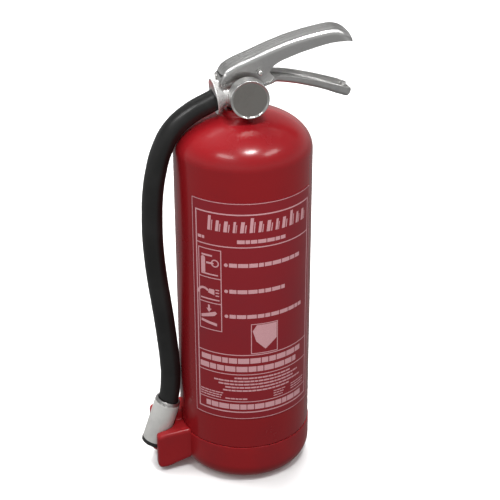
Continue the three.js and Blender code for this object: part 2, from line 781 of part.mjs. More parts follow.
// The hose's centreline: distance out from the cylinder's axis, and height
const hoseRoute = [
  [28.4, 445.1], [33.2, 442.9], [55.9, 432.1], [76.1, 415.5], [88.5, 393], [95.6, 368.3], [99.7, 343],
  [101.3, 317.4], [101.6, 291.6], [100.4, 266], [98.1, 240.3], [95.1, 214.7], [92.2, 189.1],
  [89.7, 163.4], [87.7, 137.8], [87.2, 113], [90.6, 84], [95.04, 70.72],
];
const hoseLine = hoseRoute.map(([out, z]) => [-out, z]);
piece("hose", swept(circle(hoseRadius, 12), hoseLine, 32), blackRubber, hoseSide);

// ---- Nozzle ----------------------------------------------------------------------------------

const flare = nozzleRadius - 3.2;
const rimDepth = 4; // the part of the nozzle that its rim ring makes
const nozzleProfile = [
  [flare, -nozzleLength],
  [nozzleRadius, -nozzleLength],
  [nozzleRadius, -rimDepth],
  [nozzleBore, -rimDepth],
  [nozzleBore, -socketDepth],
  [jetBore, -socketDepth - 4],
  [jetBore, -socketDepth - 9],
  [flare, -nozzleLength],
];
piece("nozzle_body", onNozzle(turned(nozzleProfile, 36)), satinMetal, hoseSide);
const ferruleProfile = [
  [nozzleBore, -rimDepth + gap],
  [nozzleRadius - 0.2, -rimDepth + gap],
  [nozzleRadius - 0.2, -2.4],
  [nozzleRadius - 0.8, -2],
  [nozzleRadius - 0.8, -0.8],
  [nozzleRadius - 1.4, 0],
  [nozzleBore, 0],
  [nozzleBore, -rimDepth + gap],
];
piece("nozzle_ferrule", onNozzle(turned(ferruleProfile, 36)), satinMetal, hoseSide);
const tipFrom = -nozzleLength - gap;
const tipEnd = tipFrom - nozzleTipLength;
const tipProfile = [
  [flare, tipEnd + 0.6],
  [flare + 0.6, tipEnd],
  [nozzleRadius - 0.4, tipEnd],
  [nozzleRadius + 0.3, tipEnd + 0.7],
  [nozzleRadius + 0.3, tipFrom],
  [flare, tipFrom],
  [flare, tipEnd + 0.6],
];
piece("nozzle_tip", onNozzle(turned(tipProfile, 36)), blackRubber, hoseSide);

export default assembly;
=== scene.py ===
# %% [markdown]
# # A fire extinguisher around its CAD frame
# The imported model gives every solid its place, and this file gives it its looks. Each cell makes one
# piece or one finish. Lengths are in metres, +Z is up, the levers point along +X, the hose comes down
# on the -X side, and the label and the round cap face -Y.

# %% Load the frame
import json
import math

import bmesh
import bpy
from mathutils import Matrix, Vector


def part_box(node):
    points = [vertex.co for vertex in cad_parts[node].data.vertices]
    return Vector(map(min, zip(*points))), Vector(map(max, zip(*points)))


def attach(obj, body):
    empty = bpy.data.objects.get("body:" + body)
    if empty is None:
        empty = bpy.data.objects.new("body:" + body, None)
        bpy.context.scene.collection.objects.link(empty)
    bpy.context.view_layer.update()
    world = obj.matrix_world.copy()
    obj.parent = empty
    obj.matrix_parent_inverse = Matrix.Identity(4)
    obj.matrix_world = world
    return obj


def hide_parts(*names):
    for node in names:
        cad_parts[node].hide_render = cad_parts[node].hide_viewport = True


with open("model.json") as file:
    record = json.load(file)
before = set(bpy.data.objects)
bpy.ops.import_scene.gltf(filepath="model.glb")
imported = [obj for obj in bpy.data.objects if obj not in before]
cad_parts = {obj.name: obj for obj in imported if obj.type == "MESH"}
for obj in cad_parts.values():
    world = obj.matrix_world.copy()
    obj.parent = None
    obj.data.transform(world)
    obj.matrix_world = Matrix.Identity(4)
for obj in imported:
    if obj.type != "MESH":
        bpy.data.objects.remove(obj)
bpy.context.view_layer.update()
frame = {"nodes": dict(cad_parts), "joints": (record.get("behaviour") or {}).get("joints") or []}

nodes = frame["nodes"]
joints = {joint["name"]: joint for joint in frame["joints"]}
mm = 0.001

# %% [markdown]
# ## Camera
# A long lens well away from the object keeps its upright sides nearly parallel. The camera stands
# to the left of the front and looks down, and it is aimed at a point on the cylinder's axis, so that
# three numbers (direction, height and distance) place it.

# %% Camera
aim = Vector((0.00765, 0.0, 0.26311))
camera_azimuth = math.radians(-12.33)
camera_elevation = math.radians(26.93)
camera_distance = 1.4498
back = Vector((
    math.sin(camera_azimuth) * math.cos(camera_elevation),
    -math.cos(camera_azimuth) * math.cos(camera_elevation),
    math.sin(camera_elevation),
))
camera_data = bpy.data.cameras.new("camera")
camera_data.lens = 93.76
camera_data.sensor_width = 36
camera = bpy.data.objects.new("camera", camera_data)
bpy.context.scene.collection.objects.link(camera)
camera.location = aim + back * camera_distance
roll = Matrix.Rotation(math.radians(-0.16), 4, "Z")
camera.rotation_euler = ((-back).to_track_quat("-Z", "Y").to_matrix().to_4x4() @ roll).to_euler()
bpy.context.scene.camera = camera
print("camera at", [round(v, 3) for v in camera.location])

# %% [markdown]
# ## Drawing and turning
# Most pieces here are turned parts. On a lathe the maker thinks of half a section, so each one is
# drawn as a profile of (radius, height, rounding) corners: a single vertex is extruded from corner to
# corner, and the line is spun about the piece's own axis. Rounding the corners in the profile gives
# the small highlights along edges that a sharp model lacks.


# %% Helpers for drawing
def clear_selection():
    if bpy.context.mode != "OBJECT":
        bpy.ops.object.mode_set(mode="OBJECT")
    bpy.ops.object.select_all(action="DESELECT")


def pick(made):
    clear_selection()
    made.select_set(True)
    bpy.context.view_layer.objects.active = made
    return made


def rounded(corners, steps=5):
    """The (a, b) points of a line whose (a, b, rounding) corners are rounded off."""
    points = [Vector(c[:2]) for c in corners]
    line = [points[0]]
    for before, corner, after, given in zip(points, points[1:], points[2:], corners[1:]):
        radius = given[2] if len(given) > 2 else 0
        if radius == 0:
            line.append(corner)
            continue
        reach = min(radius, (corner - before).length * 0.48, (after - corner).length * 0.48)
        start = corner + (before - corner).normalized() * reach
        end = corner + (after - corner).normalized() * reach
        for i in range(steps + 1):
            t = i / steps
            line.append(start * (1 - t) ** 2 + corner * 2 * t * (1 - t) + end * t * t)
    line.append(points[-1])
    return [tuple(p) for p in line]


def arc(centre, radii, start, end, steps):
    """Points on an ellipse's arc; the angles are in degrees."""
    angles = [math.radians(start + (end - start) * i / steps) for i in range(steps + 1)]
    return [(centre[0] + radii[0] * math.cos(a), centre[1] + radii[1] * math.sin(a)) for a in angles]


def draw_line(name, points):
    """A new mesh whose one vertex is extruded along the points. It is left in edit mode."""
    clear_selection()
    bpy.ops.mesh.primitive_plane_add(size=mm, location=(0, 0, 0))
    made = bpy.context.object
    made.name = name
    made.data.name = name
    bpy.ops.object.mode_set(mode="EDIT")
    bpy.ops.mesh.select_all(action="SELECT")
    bpy.ops.mesh.merge(type="CENTER")
    bpy.ops.transform.translate(value=points[0])
    for before, after in zip(points, points[1:]):
        step = Vector(after) - Vector(before)
        bpy.ops.mesh.extrude_region_move(TRANSFORM_OT_translate={"value": step})
    return made


def spun(name, profile, origin=(0, 0, 0), up=(0, 0, 1), steps=96):
    """A turned piece. The profile's (radius, height) points lie beside the axis `up` at `origin`."""
    origin, up = Vector(origin), Vector(up).normalized()
    side = up.orthogonal().normalized()
    points = [origin + side * p[0] + up * p[1] for p in profile]
    made = draw_line(name, points)
    bpy.ops.mesh.select_all(action="SELECT")
    bpy.ops.mesh.spin(steps=steps, angle=2 * math.pi, center=origin, axis=up)
    bpy.ops.mesh.select_all(action="SELECT")
    bpy.ops.mesh.remove_doubles(threshold=0.004 * mm)
    bpy.ops.mesh.normals_make_consistent(inside=False)
    bpy.ops.object.mode_set(mode="OBJECT")
    return made


def extruded(name, outline, from_y, to_y):
    """A closed outline of (x, z) points, drawn out along Y."""
    points = [(x, from_y, z) for x, z in outline]
    made = draw_line(name, points)
    bpy.ops.mesh.select_all(action="SELECT")
    bpy.ops.mesh.edge_face_add()
    bpy.ops.mesh.extrude_region_move(TRANSFORM_OT_translate={"value": (0, to_y - from_y, 0)})
    bpy.ops.mesh.select_all(action="SELECT")
    bpy.ops.mesh.normals_make_consistent(inside=False)
    bpy.ops.object.mode_set(mode="OBJECT")
    return made


def modify(made, kind, **settings):
    """Adds a modifier with these settings and applies it."""
    pick(made)
    modifier = made.modifiers.new(kind.lower(), kind)
    for name, value in settings.items():
        setattr(modifier, name, value)
    bpy.ops.object.modifier_apply(modifier=modifier.name)
    return made


def soft_edges(made, width, segments=3, angle=35):
    return modify(
        made, "BEVEL", width=width, segments=segments, limit_method="ANGLE",
        angle_limit=math.radians(angle), harden_normals=False,
    )


def cut(made, tool):
    """Takes the tool's shape out of the piece."""
    modify(made, "BOOLEAN", operation="DIFFERENCE", solver="MANIFOLD", object=tool)
    bpy.data.objects.remove(tool)
    return made


def joined(made, *others):
    pick(made)
    for other in others:
        other.select_set(True)
    bpy.ops.object.join()
    return made


def finish_piece(made, material, body="cylinder", stands_for=(), angle=32):
    """Smooths the shading, gives the finish, and hangs the piece on its body."""
    pick(made)
    bpy.ops.object.shade_smooth_by_angle(angle=math.radians(angle))
    made.data.materials.clear()
    made.data.materials.append(material)
    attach(made, body)
    if stands_for:
        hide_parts(*stands_for)
    print(f"{made.name}: {len(made.data.polygons)} faces")
    return made


# %% [markdown]
# ## Shared effects
# Real surfaces differ from place to place. Three effects are shared by the finishes, so each is a
# node group: fine grain, which is a small height and mask; marks, which are the faint rubs and smears
# of handling; and worn edges with painted shade, which is a mask of where a surface is sharply convex
# and a second mask, of painted shade, where it is concave.


# %% Node groups
def new_group(name, inputs, outputs):
    group = bpy.data.node_groups.new(name, "ShaderNodeTree")
    for label, default in inputs:
        socket = group.interface.new_socket(label, in_out="INPUT", socket_type="NodeSocketFloat")
        socket.default_value = default
    for label in outputs:
        group.interface.new_socket(label, in_out="OUTPUT", socket_type="NodeSocketFloat")
    source = group.nodes.new("NodeGroupInput")
    sink = group.nodes.new("NodeGroupOutput")
    return group, source, sink


def noise_in(group, scale_socket, detail, roughness=0.55, stretch=(1, 1, 1)):
    place = group.nodes.new("ShaderNodeTexCoord")
    turn = group.nodes.new("ShaderNodeMapping")
    turn.inputs["Scale"].default_value = stretch
    pattern = group.nodes.new("ShaderNodeTexNoise")
    pattern.inputs["Detail"].default_value = detail
    pattern.inputs["Roughness"].default_value = roughness
    group.links.new(place.outputs["Object"], turn.inputs["Vector"])
    group.links.new(turn.outputs["Vector"], pattern.inputs["Vector"])
    group.links.new(scale_socket, pattern.inputs["Scale"])
    return pattern.outputs["Fac"]


def ramp_in(group, value, low, high, to_low=0.0, to_high=1.0):
    spread = group.nodes.new("ShaderNodeMapRange")
    spread.interpolation_type = "SMOOTHSTEP"
    for label, number in (
        ("From Min", low), ("From Max", high), ("To Min", to_low), ("To Max", to_high),
    ):
        spread.inputs[label].default_value = number
    group.links.new(value, spread.inputs["Value"])
    return spread.outputs["Result"]


def multiply_in(group, first, second):
    product = group.nodes.new("ShaderNodeMath")
    product.operation = "MULTIPLY"
    group.links.new(first, product.inputs[0])
    group.links.new(second, product.inputs[1])
    return product.outputs[0]


def make_grain():
    group, source, sink = new_group("fine_grain", [("Scale", 900)], ["Height", "Mask"])
    pattern = noise_in(group, source.outputs["Scale"], 4)
    group.links.new(pattern, sink.inputs["Height"])
    group.links.new(ramp_in(group, pattern, 0.35, 0.65), sink.inputs["Mask"])
    return group


def make_marks():
    group, source, sink = new_group("handling_marks", [("Scale", 14)], ["Smears", "Scratches"])
    smears = noise_in(group, source.outputs["Scale"], 5, 0.6)
    group.links.new(ramp_in(group, smears, 0.42, 0.68), sink.inputs["Smears"])
    long = noise_in(group, source.outputs["Scale"], 8, 0.75, stretch=(9, 9, 0.8))
    thin = ramp_in(group, long, 0.62, 0.7)
    cross = noise_in(group, source.outputs["Scale"], 2, 0.5, stretch=(1, 1, 3))
    broken = multiply_in(group, thin, ramp_in(group, cross, 0.45, 0.6))
    group.links.new(broken, sink.inputs["Scratches"])
    return group


def make_wear_and_crevice_shade():
    group, source, sink = new_group("wear_and_crevice_shade", [("Scale", 160)], ["Mask", "Crevice shade"])
    shape = group.nodes.new("ShaderNodeNewGeometry")
    edge = ramp_in(group, shape.outputs["Pointiness"], 0.515, 0.58)
    uneven = ramp_in(group, noise_in(group, source.outputs["Scale"], 3), 0.3, 0.7, 0.25, 1)
    group.links.new(multiply_in(group, edge, uneven), sink.inputs["Mask"])
    # The second output is painted shade: a mask of where the surface is concave, which darkens corners
    # where shade would fall.
    hollow = ramp_in(group, shape.outputs["Pointiness"], 0.49, 0.42)
    group.links.new(hollow, sink.inputs["Crevice shade"])
    return group


fine_grain = make_grain()
handling_marks = make_marks()
wear_and_crevice_shade = make_wear_and_crevice_shade()
print("node groups:", [g.name for g in bpy.data.node_groups])


# %% Helpers for finishes
def finish(name, colour, roughness, metallic=0.0, **sockets):
    """A material with its Principled shader set, ready for its effects."""
    made = bpy.data.materials.new(name)
    made.use_nodes = True
    shader = made.node_tree.nodes["Principled BSDF"]
    shader.inputs["Base Color"].default_value = (*colour, 1)
    shader.inputs["Roughness"].default_value = roughness
    shader.inputs["Metallic"].default_value = metallic
    for label, value in sockets.items():
        shader.inputs[label.replace("_", " ")].default_value = value
    made.diffuse_color = (*colour, 1)
    return made


def effect(material, group, output, **values):
    """Places a shared effect in a material and returns one of its outputs."""
    node = material.node_tree.nodes.new("ShaderNodeGroup")
    node.node_tree = group
    for label, value in values.items():
        node.inputs[label].default_value = value
    return node.outputs[output]


def mixed_colour(material, mask, first, second, share=1.0):
    """Mixes two colours (or a colour and a socket) by a mask."""
    tree = material.node_tree
    scaled = tree.nodes.new("ShaderNodeMath")
    scaled.operation = "MULTIPLY"
    scaled.inputs[1].default_value = share
    tree.links.new(mask, scaled.inputs[0])
    mixer = tree.nodes.new("ShaderNodeMix")
    mixer.data_type = "RGBA"
    tree.links.new(scaled.outputs[0], mixer.inputs["Factor"])
    for socket, value in ((mixer.inputs[6], first), (mixer.inputs[7], second)):
        if isinstance(value, tuple):
            socket.default_value = (*value, 1)
        else:
            tree.links.new(value, socket)
    return mixer.outputs[2]


def ranged(material, mask, low, high):
    """A mask spread between two values, for roughness."""
    tree = material.node_tree
    spread = tree.nodes.new("ShaderNodeMapRange")
    spread.inputs["To Min"].default_value = low
    spread.inputs["To Max"].default_value = high
    tree.links.new(mask, spread.inputs["Value"])
    return spread.outputs["Result"]


def feed(material, label, socket):
    tree = material.node_tree
    tree.links.new(socket, tree.nodes["Principled BSDF"].inputs[label])


def bumped(material, height, strength, distance):
    tree = material.node_tree
    bump = tree.nodes.new("ShaderNodeBump")
    bump.inputs["Strength"].default_value = strength
    bump.inputs["Distance"].default_value = distance
    tree.links.new(height, bump.inputs["Height"])
    existing = tree.nodes["Principled BSDF"].inputs["Normal"].links
    if existing:
        tree.links.new(existing[0].from_socket, bump.inputs["Normal"])
    feed(material, "Normal", bump.outputs["Normal"])


def smeared(made, scale, colour, other, share, gloss=None):
    """A colour with smears of another one; the smears change the gloss too."""
    smears = effect(made, handling_marks, "Smears", Scale=scale)
    if gloss:
        feed(made, "Roughness", ranged(made, smears, *gloss))
    return mixed_colour(made, smears, colour, other, share)


def grained(made, scale, strength, depth):
    """A fine grain in the surface; the depth is in mm."""
    bumped(made, effect(made, fine_grain, "Height", Scale=scale), strength, depth * mm)


# %% [markdown]
# ## Red finishes
# The cylinder is powder-coated: a deep red under a gloss that has a faint orange-peel ripple, with
# smears that change its gloss. The foot is moulded in the same red with a finer, duller skin. The
# label is a thin film a little duller than the paint, and its printing is a pale pink ink.


# %% Red finishes
def make_enamel():
    made = finish(
        "red_enamel", (0.24, 0.007, 0.010), 0.24, Specular_IOR_Level=0.3,
        Coat_Weight=0.12, Coat_Roughness=0.1,
    )
    colour = smeared(made, 11, (0.24, 0.007, 0.010), (0.2, 0.007, 0.011), 0.6, (0.2, 0.3))
    scratches = effect(made, handling_marks, "Scratches", Scale=18)
    feed(made, "Base Color", mixed_colour(made, scratches, colour, (0.36, 0.045, 0.045), 0.12))
    grained(made, 260, 0.05, 0.4)
    return made


def make_moulded_red():
    made = finish("moulded_red", (0.27, 0.009, 0.012), 0.34, Specular_IOR_Level=0.3)
    colour = smeared(made, 16, (0.28, 0.009, 0.012), (0.22, 0.009, 0.013), 0.7, (0.28, 0.42))
    worn = effect(made, wear_and_crevice_shade, "Mask", Scale=180)
    feed(made, "Base Color", mixed_colour(made, worn, colour, (0.38, 0.05, 0.045), 0.25))
    grained(made, 1500, 0.12, 0.15)
    return made


def make_film():
    made = finish("label_film", (0.22, 0.014, 0.02), 0.36, Specular_IOR_Level=0.3)
    colour = smeared(made, 9, (0.23, 0.013, 0.019), (0.195, 0.015, 0.023), 0.8, (0.3, 0.44))
    feed(made, "Base Color", colour)
    grained(made, 420, 0.05, 0.3)
    return made


def make_ink():
    made = finish("pale_ink", (0.62, 0.33, 0.35), 0.5)
    speckle = effect(made, fine_grain, "Mask", Scale=1400)
    feed(made, "Base Color", mixed_colour(made, speckle, (0.64, 0.35, 0.37), (0.5, 0.22, 0.25), 0.5))
    feed(made, "Roughness", ranged(made, speckle, 0.42, 0.55))
    return made


red_enamel = make_enamel()
moulded_red = make_moulded_red()
label_film = make_film()
pale_ink = make_ink()

# %% [markdown]
# ## Metals, rubber and plastic
# The valve and both grips are castings with a satin nickel plating: grey, with a fine pitted grain
# and brighter on the worn edges, with painted shade darkening their corners. The pins and the cap's
# rim are polished, and the hose collar is bright. The cap's face is turned, so fine rings run round
# it. The hose and the nozzle's ring are rubber.


# %% Metals
def make_cast_metal():
    made = finish("cast_satin_nickel", (0.58, 0.575, 0.565), 0.36, 1.0)
    worn = effect(made, wear_and_crevice_shade, "Mask", Scale=220)
    crevice_shade = effect(made, wear_and_crevice_shade, "Crevice shade", Scale=220)
    colour = smeared(made, 45, (0.62, 0.615, 0.605), (0.5, 0.495, 0.485), 0.8, (0.3, 0.42))
    colour = mixed_colour(made, worn, colour, (0.86, 0.855, 0.84), 0.6)
    # Painted shade: the concave corners are darkened towards near-black, as if shadowed.
    feed(made, "Base Color", mixed_colour(made, crevice_shade, colour, (0.12, 0.115, 0.11), 0.7))
    grained(made, 700, 0.22, 0.25)
    grained(made, 2600, 0.15, 0.08)
    return made


def ring_pattern(made, centre, axis_index, pitch):
    """Fine turned rings round an axis: a wave of the distance from it."""
    tree = made.node_tree
    place = tree.nodes.new("ShaderNodeTexCoord")
    shift = tree.nodes.new("ShaderNodeMapping")
    shift.inputs["Location"].default_value = [-c for c in centre]
    flat = [1, 1, 1]
    flat[axis_index] = 0.0001
    squeeze = tree.nodes.new("ShaderNodeMapping")
    squeeze.inputs["Scale"].default_value = flat
    distance = tree.nodes.new("ShaderNodeVectorMath")
    distance.operation = "LENGTH"
    wave = tree.nodes.new("ShaderNodeMath")
    wave.operation = "MULTIPLY"
    wave.inputs[1].default_value = 1 / pitch
    pattern = tree.nodes.new("ShaderNodeTexNoise")
    pattern.noise_dimensions = "1D"
    pattern.inputs["Scale"].default_value = 1
    pattern.inputs["Detail"].default_value = 3
    tree.links.new(place.outputs["Object"], shift.inputs["Vector"])
    tree.links.new(shift.outputs["Vector"], squeeze.inputs["Vector"])
    tree.links.new(squeeze.outputs["Vector"], distance.inputs[0])
    tree.links.new(distance.outputs["Value"], wave.inputs[0])
    tree.links.new(wave.outputs[0], pattern.inputs["W"])
    return pattern.outputs["Fac"]


def make_turned_metal(name, colour, centre, axis_index, gloss=(0.3, 0.42)):
    made = finish(name, colour, gloss[0], 1.0)
    dark = tuple(c * 0.82 for c in colour)
    feed(made, "Base Color", smeared(made, 60, colour, dark, 0.8, gloss))
    bumped(made, ring_pattern(made, centre, axis_index, 0.35 * mm), 0.14, 0.05 * mm)
    grained(made, 1800, 0.08, 0.06)
    return made


def make_polished(name, colour, roughness, metallic=1.0):
    made = finish(name, colour, roughness, metallic)
    dark = tuple(c * 0.8 for c in colour)
    gloss = (roughness, roughness + 0.14)
    feed(made, "Base Color", smeared(made, 90, colour, dark, 0.6, gloss))
    grained(made, 2200, 0.06, 0.05)
    return made


cap_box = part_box("front_cap")
cap_centre = (cap_box[0] + cap_box[1]) / 2
cast_metal = make_cast_metal()
turned_cap = make_turned_metal("turned_grey_cap", (0.4, 0.385, 0.36), cap_centre, 1)
collar_metal = make_polished("collar_nickel", (0.86, 0.855, 0.84), 0.26, 0.5)
bright_steel = make_polished("bright_steel", (0.78, 0.78, 0.76), 0.12)
spring_steel = make_polished("spring_steel", (0.4, 0.41, 0.43), 0.28)
brass = make_polished("turned_brass", (0.62, 0.42, 0.16), 0.28)


# %% Nozzle alloy, rubber and plastic
def make_nozzle_alloy():
    made = finish("pale_alloy", (0.62, 0.615, 0.59), 0.42, 0.4)
    streaks = effect(made, handling_marks, "Scratches", Scale=60)
    colour = smeared(made, 40, (0.66, 0.655, 0.63), (0.52, 0.515, 0.5), 0.6, (0.36, 0.5))
    feed(made, "Base Color", mixed_colour(made, streaks, colour, (0.36, 0.355, 0.35), 0.4))
    grained(made, 1200, 0.1, 0.08)
    return made


def make_rubber(name, colour, roughness):
    made = finish(name, colour, roughness, Specular_IOR_Level=0.45)
    pale = tuple(c * 1.7 + 0.002 for c in colour)
    gloss = (roughness - 0.05, roughness + 0.1)
    feed(made, "Base Color", smeared(made, 22, colour, pale, 0.6, gloss))
    grained(made, 1600, 0.2, 0.1)
    return made


def make_tube_plastic():
    made = finish("siphon_plastic", (0.68, 0.66, 0.6), 0.5)
    feed(made, "Base Color", smeared(made, 30, (0.7, 0.68, 0.62), (0.6, 0.57, 0.5), 0.7))
    grained(made, 900, 0.1, 0.1)
    return made


nozzle_alloy = make_nozzle_alloy()
hose_rubber = make_rubber("hose_rubber", (0.007, 0.007, 0.0068), 0.36)
seal_rubber = make_rubber("seal_rubber", (0.012, 0.012, 0.012), 0.5)
tube_plastic = make_tube_plastic()
print("materials:", len(bpy.data.materials))

# %% [markdown]
# ## Hose
# A rubber discharge hose of 23 mm outside, whose whole length shows. It leaves the collar, bends
# over the shoulder and hangs down the side into the nozzle. The points are the route of the CAD
# hose, each a distance out from the cylinder's axis and a height, and a smooth curve with a round
# bevel goes through them.

# %% Hose
hose_plane = math.radians(3)
hose_radius = 11.5 * mm
hose_route = [
    (28.4, 445.1), (33.2, 442.9), (55.9, 432.1), (76.1, 415.5), (88.5, 393), (95.6, 368.3),
    (99.7, 343), (101.3, 317.4), (101.6, 291.6), (100.4, 266), (98.1, 240.3), (95.1, 214.7),
    (92.2, 189.1), (89.7, 163.4), (87.7, 137.8), (87.2, 113), (90.6, 84), (95.04, 70.72),
]


def in_hose_plane(out, up, across=0.0):
    """A point in the hose's upright plane, from its distance out and its height."""
    cos, sin = math.cos(hose_plane), math.sin(hose_plane)
    return Vector((-out * cos + across * sin, -out * sin - across * cos, up))


hose_points = [in_hose_plane(out * mm, up * mm) for out, up in hose_route]
hose_curve = bpy.data.curves.new("hose_line", "CURVE")
hose_curve.dimensions = "3D"
spline = hose_curve.splines.new("BEZIER")
spline.bezier_points.add(len(hose_points) - 1)
for knot, place in zip(spline.bezier_points, hose_points):
    knot.co = place
    knot.handle_left_type = "AUTO"
    knot.handle_right_type = "AUTO"
hose_curve.bevel_depth = hose_radius
hose_curve.bevel_resolution = 10
hose_curve.resolution_u = 10
hose_curve.use_fill_caps = True
hose = bpy.data.objects.new("hose_line", hose_curve)
bpy.context.scene.collection.objects.link(hose)
hose_curve.materials.append(hose_rubber)

# %% [markdown]
# ## Steel cylinder
# The cylinder is drawn and welded from sheet: a straight side, an elliptical dome and a dished
# bottom. Its section is one closed line, outside then inside, spun about the axis.

# %% Steel cylinder
shell_low, shell_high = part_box("cylinder_shell")
shell_radius = shell_high.x
shoulder = 388 * mm
dome_rise = 43 * mm
shell_wall = 1.8 * mm
neck_hole = 18.8 * mm
foot_seam = 50 * mm
shell_step = 1.8 * mm  # the side steps in by this much below the foot's rim


def dome_line(inset, steps):
    """From the shoulder to the neck's hole, at a depth below the outer surface."""
    radius, rise = shell_radius - inset, dome_rise - inset
    last = math.degrees(math.acos(neck_hole / radius))
    return arc((0, shoulder), (radius, rise), 0, last, steps)


def bottom_line(inset, steps):
    """The dished bottom, from the axis to the side."""
    radius, rise = shell_radius - shell_step - inset, 28 * mm - inset
    return arc((0, shell_low.z + 28 * mm), (radius, rise), -90, 0, steps)


outside = [
    *bottom_line(0, 14),
    (shell_radius - shell_step, foot_seam + 0.3 * mm),
    (shell_radius - 0.4 * mm, foot_seam + 0.6 * mm),
    (shell_radius, foot_seam + 1.1 * mm),
    *dome_line(0, 40),
]
inside = [*dome_line(shell_wall, 16)[::-1], *bottom_line(shell_wall, 8)[::-1]]
cylinder = spun("steel_cylinder", outside + inside, steps=144)
finish_piece(cylinder, red_enamel, stands_for=["cylinder_shell"])

# %% [markdown]
# ## Neck ring
# A turned steel boss is welded into the dome and takes the valve's thread. Only its flange shows,
# as a low step under the valve, with a small fillet of weld round it.

# %% Neck ring
neck_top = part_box("neck_ring")[1].z
neck_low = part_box("neck_ring")[0].z
weld_foot = shoulder + dome_rise * math.sqrt(1 - (24.5 * mm / shell_radius) ** 2)
neck = spun("neck_boss", rounded([
    (15.4 * mm, neck_low),
    (18.5 * mm, neck_low),
    (18.5 * mm, weld_foot - 1 * mm, 0),
    (24.5 * mm, weld_foot - 0.3 * mm, 0.3 * mm),
    (22.6 * mm, weld_foot + 1.5 * mm, 1.2 * mm),
    (22.0 * mm, neck_top - 1 * mm, 0.8 * mm),
    (21.0 * mm, neck_top, 0.8 * mm),
    (15.4 * mm, neck_top, 0.4 * mm),
    (15.4 * mm, neck_low),
]))
finish_piece(neck, red_enamel, stands_for=["neck_ring"])

# %% [markdown]
# ## Foot
# A moulded cup pressed over the cylinder's end. It is spun in one section with a rolled corner, a
# rounded rim at the seam and an inner wall.

# %% Foot
foot_outer = 75.7 * mm
foot_corner = 25 * mm
foot_wall = 2.2 * mm
foot_floor = 2.5 * mm
foot_inner = foot_outer - foot_wall
inner_corner = foot_corner - foot_wall
foot_section = [
    (0, 0),
    *arc((foot_outer - foot_corner, foot_corner), (foot_corner, foot_corner), -90, 0, 14),
    *rounded([
        (foot_outer, foot_seam - 5 * mm),
        (foot_outer, foot_seam, 0.5 * mm),
        (foot_inner, foot_seam, 0.4 * mm),
        (foot_inner, foot_seam - 5 * mm),
    ]),
    *arc((foot_inner - inner_corner, foot_floor + inner_corner), (inner_corner,) * 2, 0, -90, 8),
    (0, foot_floor),
]
foot_cup = spun("foot_cup", foot_section, steps=144)
finish_piece(foot_cup, moulded_red, stands_for=["foot_boot"])

# %% [markdown]
# ## Nozzle clip
# Two thick prongs are moulded on the foot and spring round the nozzle, and the one at the back
# stands taller. They are cut by the nozzle's bore and by the slot that the nozzle is pressed
# through, and a fine remesh and a smooth turn the cut edges into the soft ones of a moulding.

# %% Nozzle clip
nozzle_tilt = math.radians(18.5)
nozzle_up = in_hose_plane(-math.sin(nozzle_tilt), math.cos(nozzle_tilt))
rim_out, rim_up = 90.6 * mm, 84 * mm  # the nozzle's upper rim in the hose's plane
nozzle_rim = in_hose_plane(rim_out, rim_up)
clip_half_width = 26 * mm
clip_reach = 109.5 * mm
clip_low, clip_high = 5 * mm, 51.5 * mm
back_prong_rise = 14 * mm
clip_root = 55 * mm  # the prongs start inside the foot's wall
clip_bore = 15.9 * mm
clip_slot = 13 * mm  # half of its width
foot_inner = 74.6 * mm


def boxed(name, low, high):
    """A cube primitive stretched between two corners."""
    clear_selection()
    low, high = Vector(low), Vector(high)
    bpy.ops.mesh.primitive_cube_add(size=1, location=(low + high) / 2, scale=high - low)
    bpy.ops.object.transform_apply(location=True, rotation=False, scale=True)
    made = bpy.context.object
    made.name = name
    return made


def turn_in_mesh(made, matrix):
    """Turns a piece's mesh, and leaves its object where it is."""
    made.data.transform(matrix)
    return made


def prong(name, top, from_y, to_y):
    """Half of the clip, from the side: its underside and its top rise towards the foot."""
    outline = rounded([
        (-clip_root, 0.03), (-clip_root, clip_low + 12 * mm),
        (-72 * mm, clip_low + 9 * mm, 4 * mm), (-clip_reach + 10 * mm, clip_low, 10 * mm),
        (-clip_reach, clip_low + 1 * mm, 9 * mm), (-clip_reach, top - 3 * mm, 7 * mm),
        (-clip_reach + 8 * mm, top, 5 * mm), (-clip_root, top + 4.5 * mm), (-clip_root, 0.03),
    ])
    made = extruded(name, outline[:-1], from_y, to_y)
    return soft_edges(made, 4 * mm, 5, 60)


def make_clip():
    block = prong("nozzle_clip", clip_high, -clip_half_width, 0)
    back_prong = prong("back_prong", clip_high + back_prong_rise, -1 * mm, clip_half_width)
    joined(block, back_prong)
    tilt = Matrix.Translation((-rim_out, 0, rim_up)) @ Matrix.Rotation(nozzle_tilt, 4, "Y")
    bore = spun("bore", [(0, -0.12), (clip_bore, -0.12), (clip_bore, 0.05), (0, 0.05)], steps=64)
    cut(block, turn_in_mesh(bore, tilt))
    slot = boxed("slot", (-0.09, -clip_slot, -0.12), (0, clip_slot, 0.05))
    cut(block, turn_in_mesh(slot, tilt))
    wall = [(0, -0.01), (foot_inner, -0.01), (foot_inner, 0.09), (0, 0.09)]
    hollow = spun("hollow", wall, steps=144)
    cut(block, hollow)
    turn_in_mesh(block, Matrix.Rotation(hose_plane, 4, "Z"))
    modify(block, "REMESH", mode="VOXEL", voxel_size=0.8 * mm)
    modify(block, "SMOOTH", factor=0.6, iterations=8)
    return block


clip = make_clip()
finish_piece(clip, moulded_red, angle=180)

# %% [markdown]
# ## Label
# The film is cut flat with round corners, then wrapped round the cylinder. It is drawn flat, with
# arc length across and height up, is bisected into narrow strips so that it can bend, and each
# vertex is then laid on the cylinder. The printing is made in the same way, as thin raised ink.

# %% Label
label_radius = shell_radius + 0.12 * mm
degree = math.radians(1) * label_radius  # arc length of one degree on the film


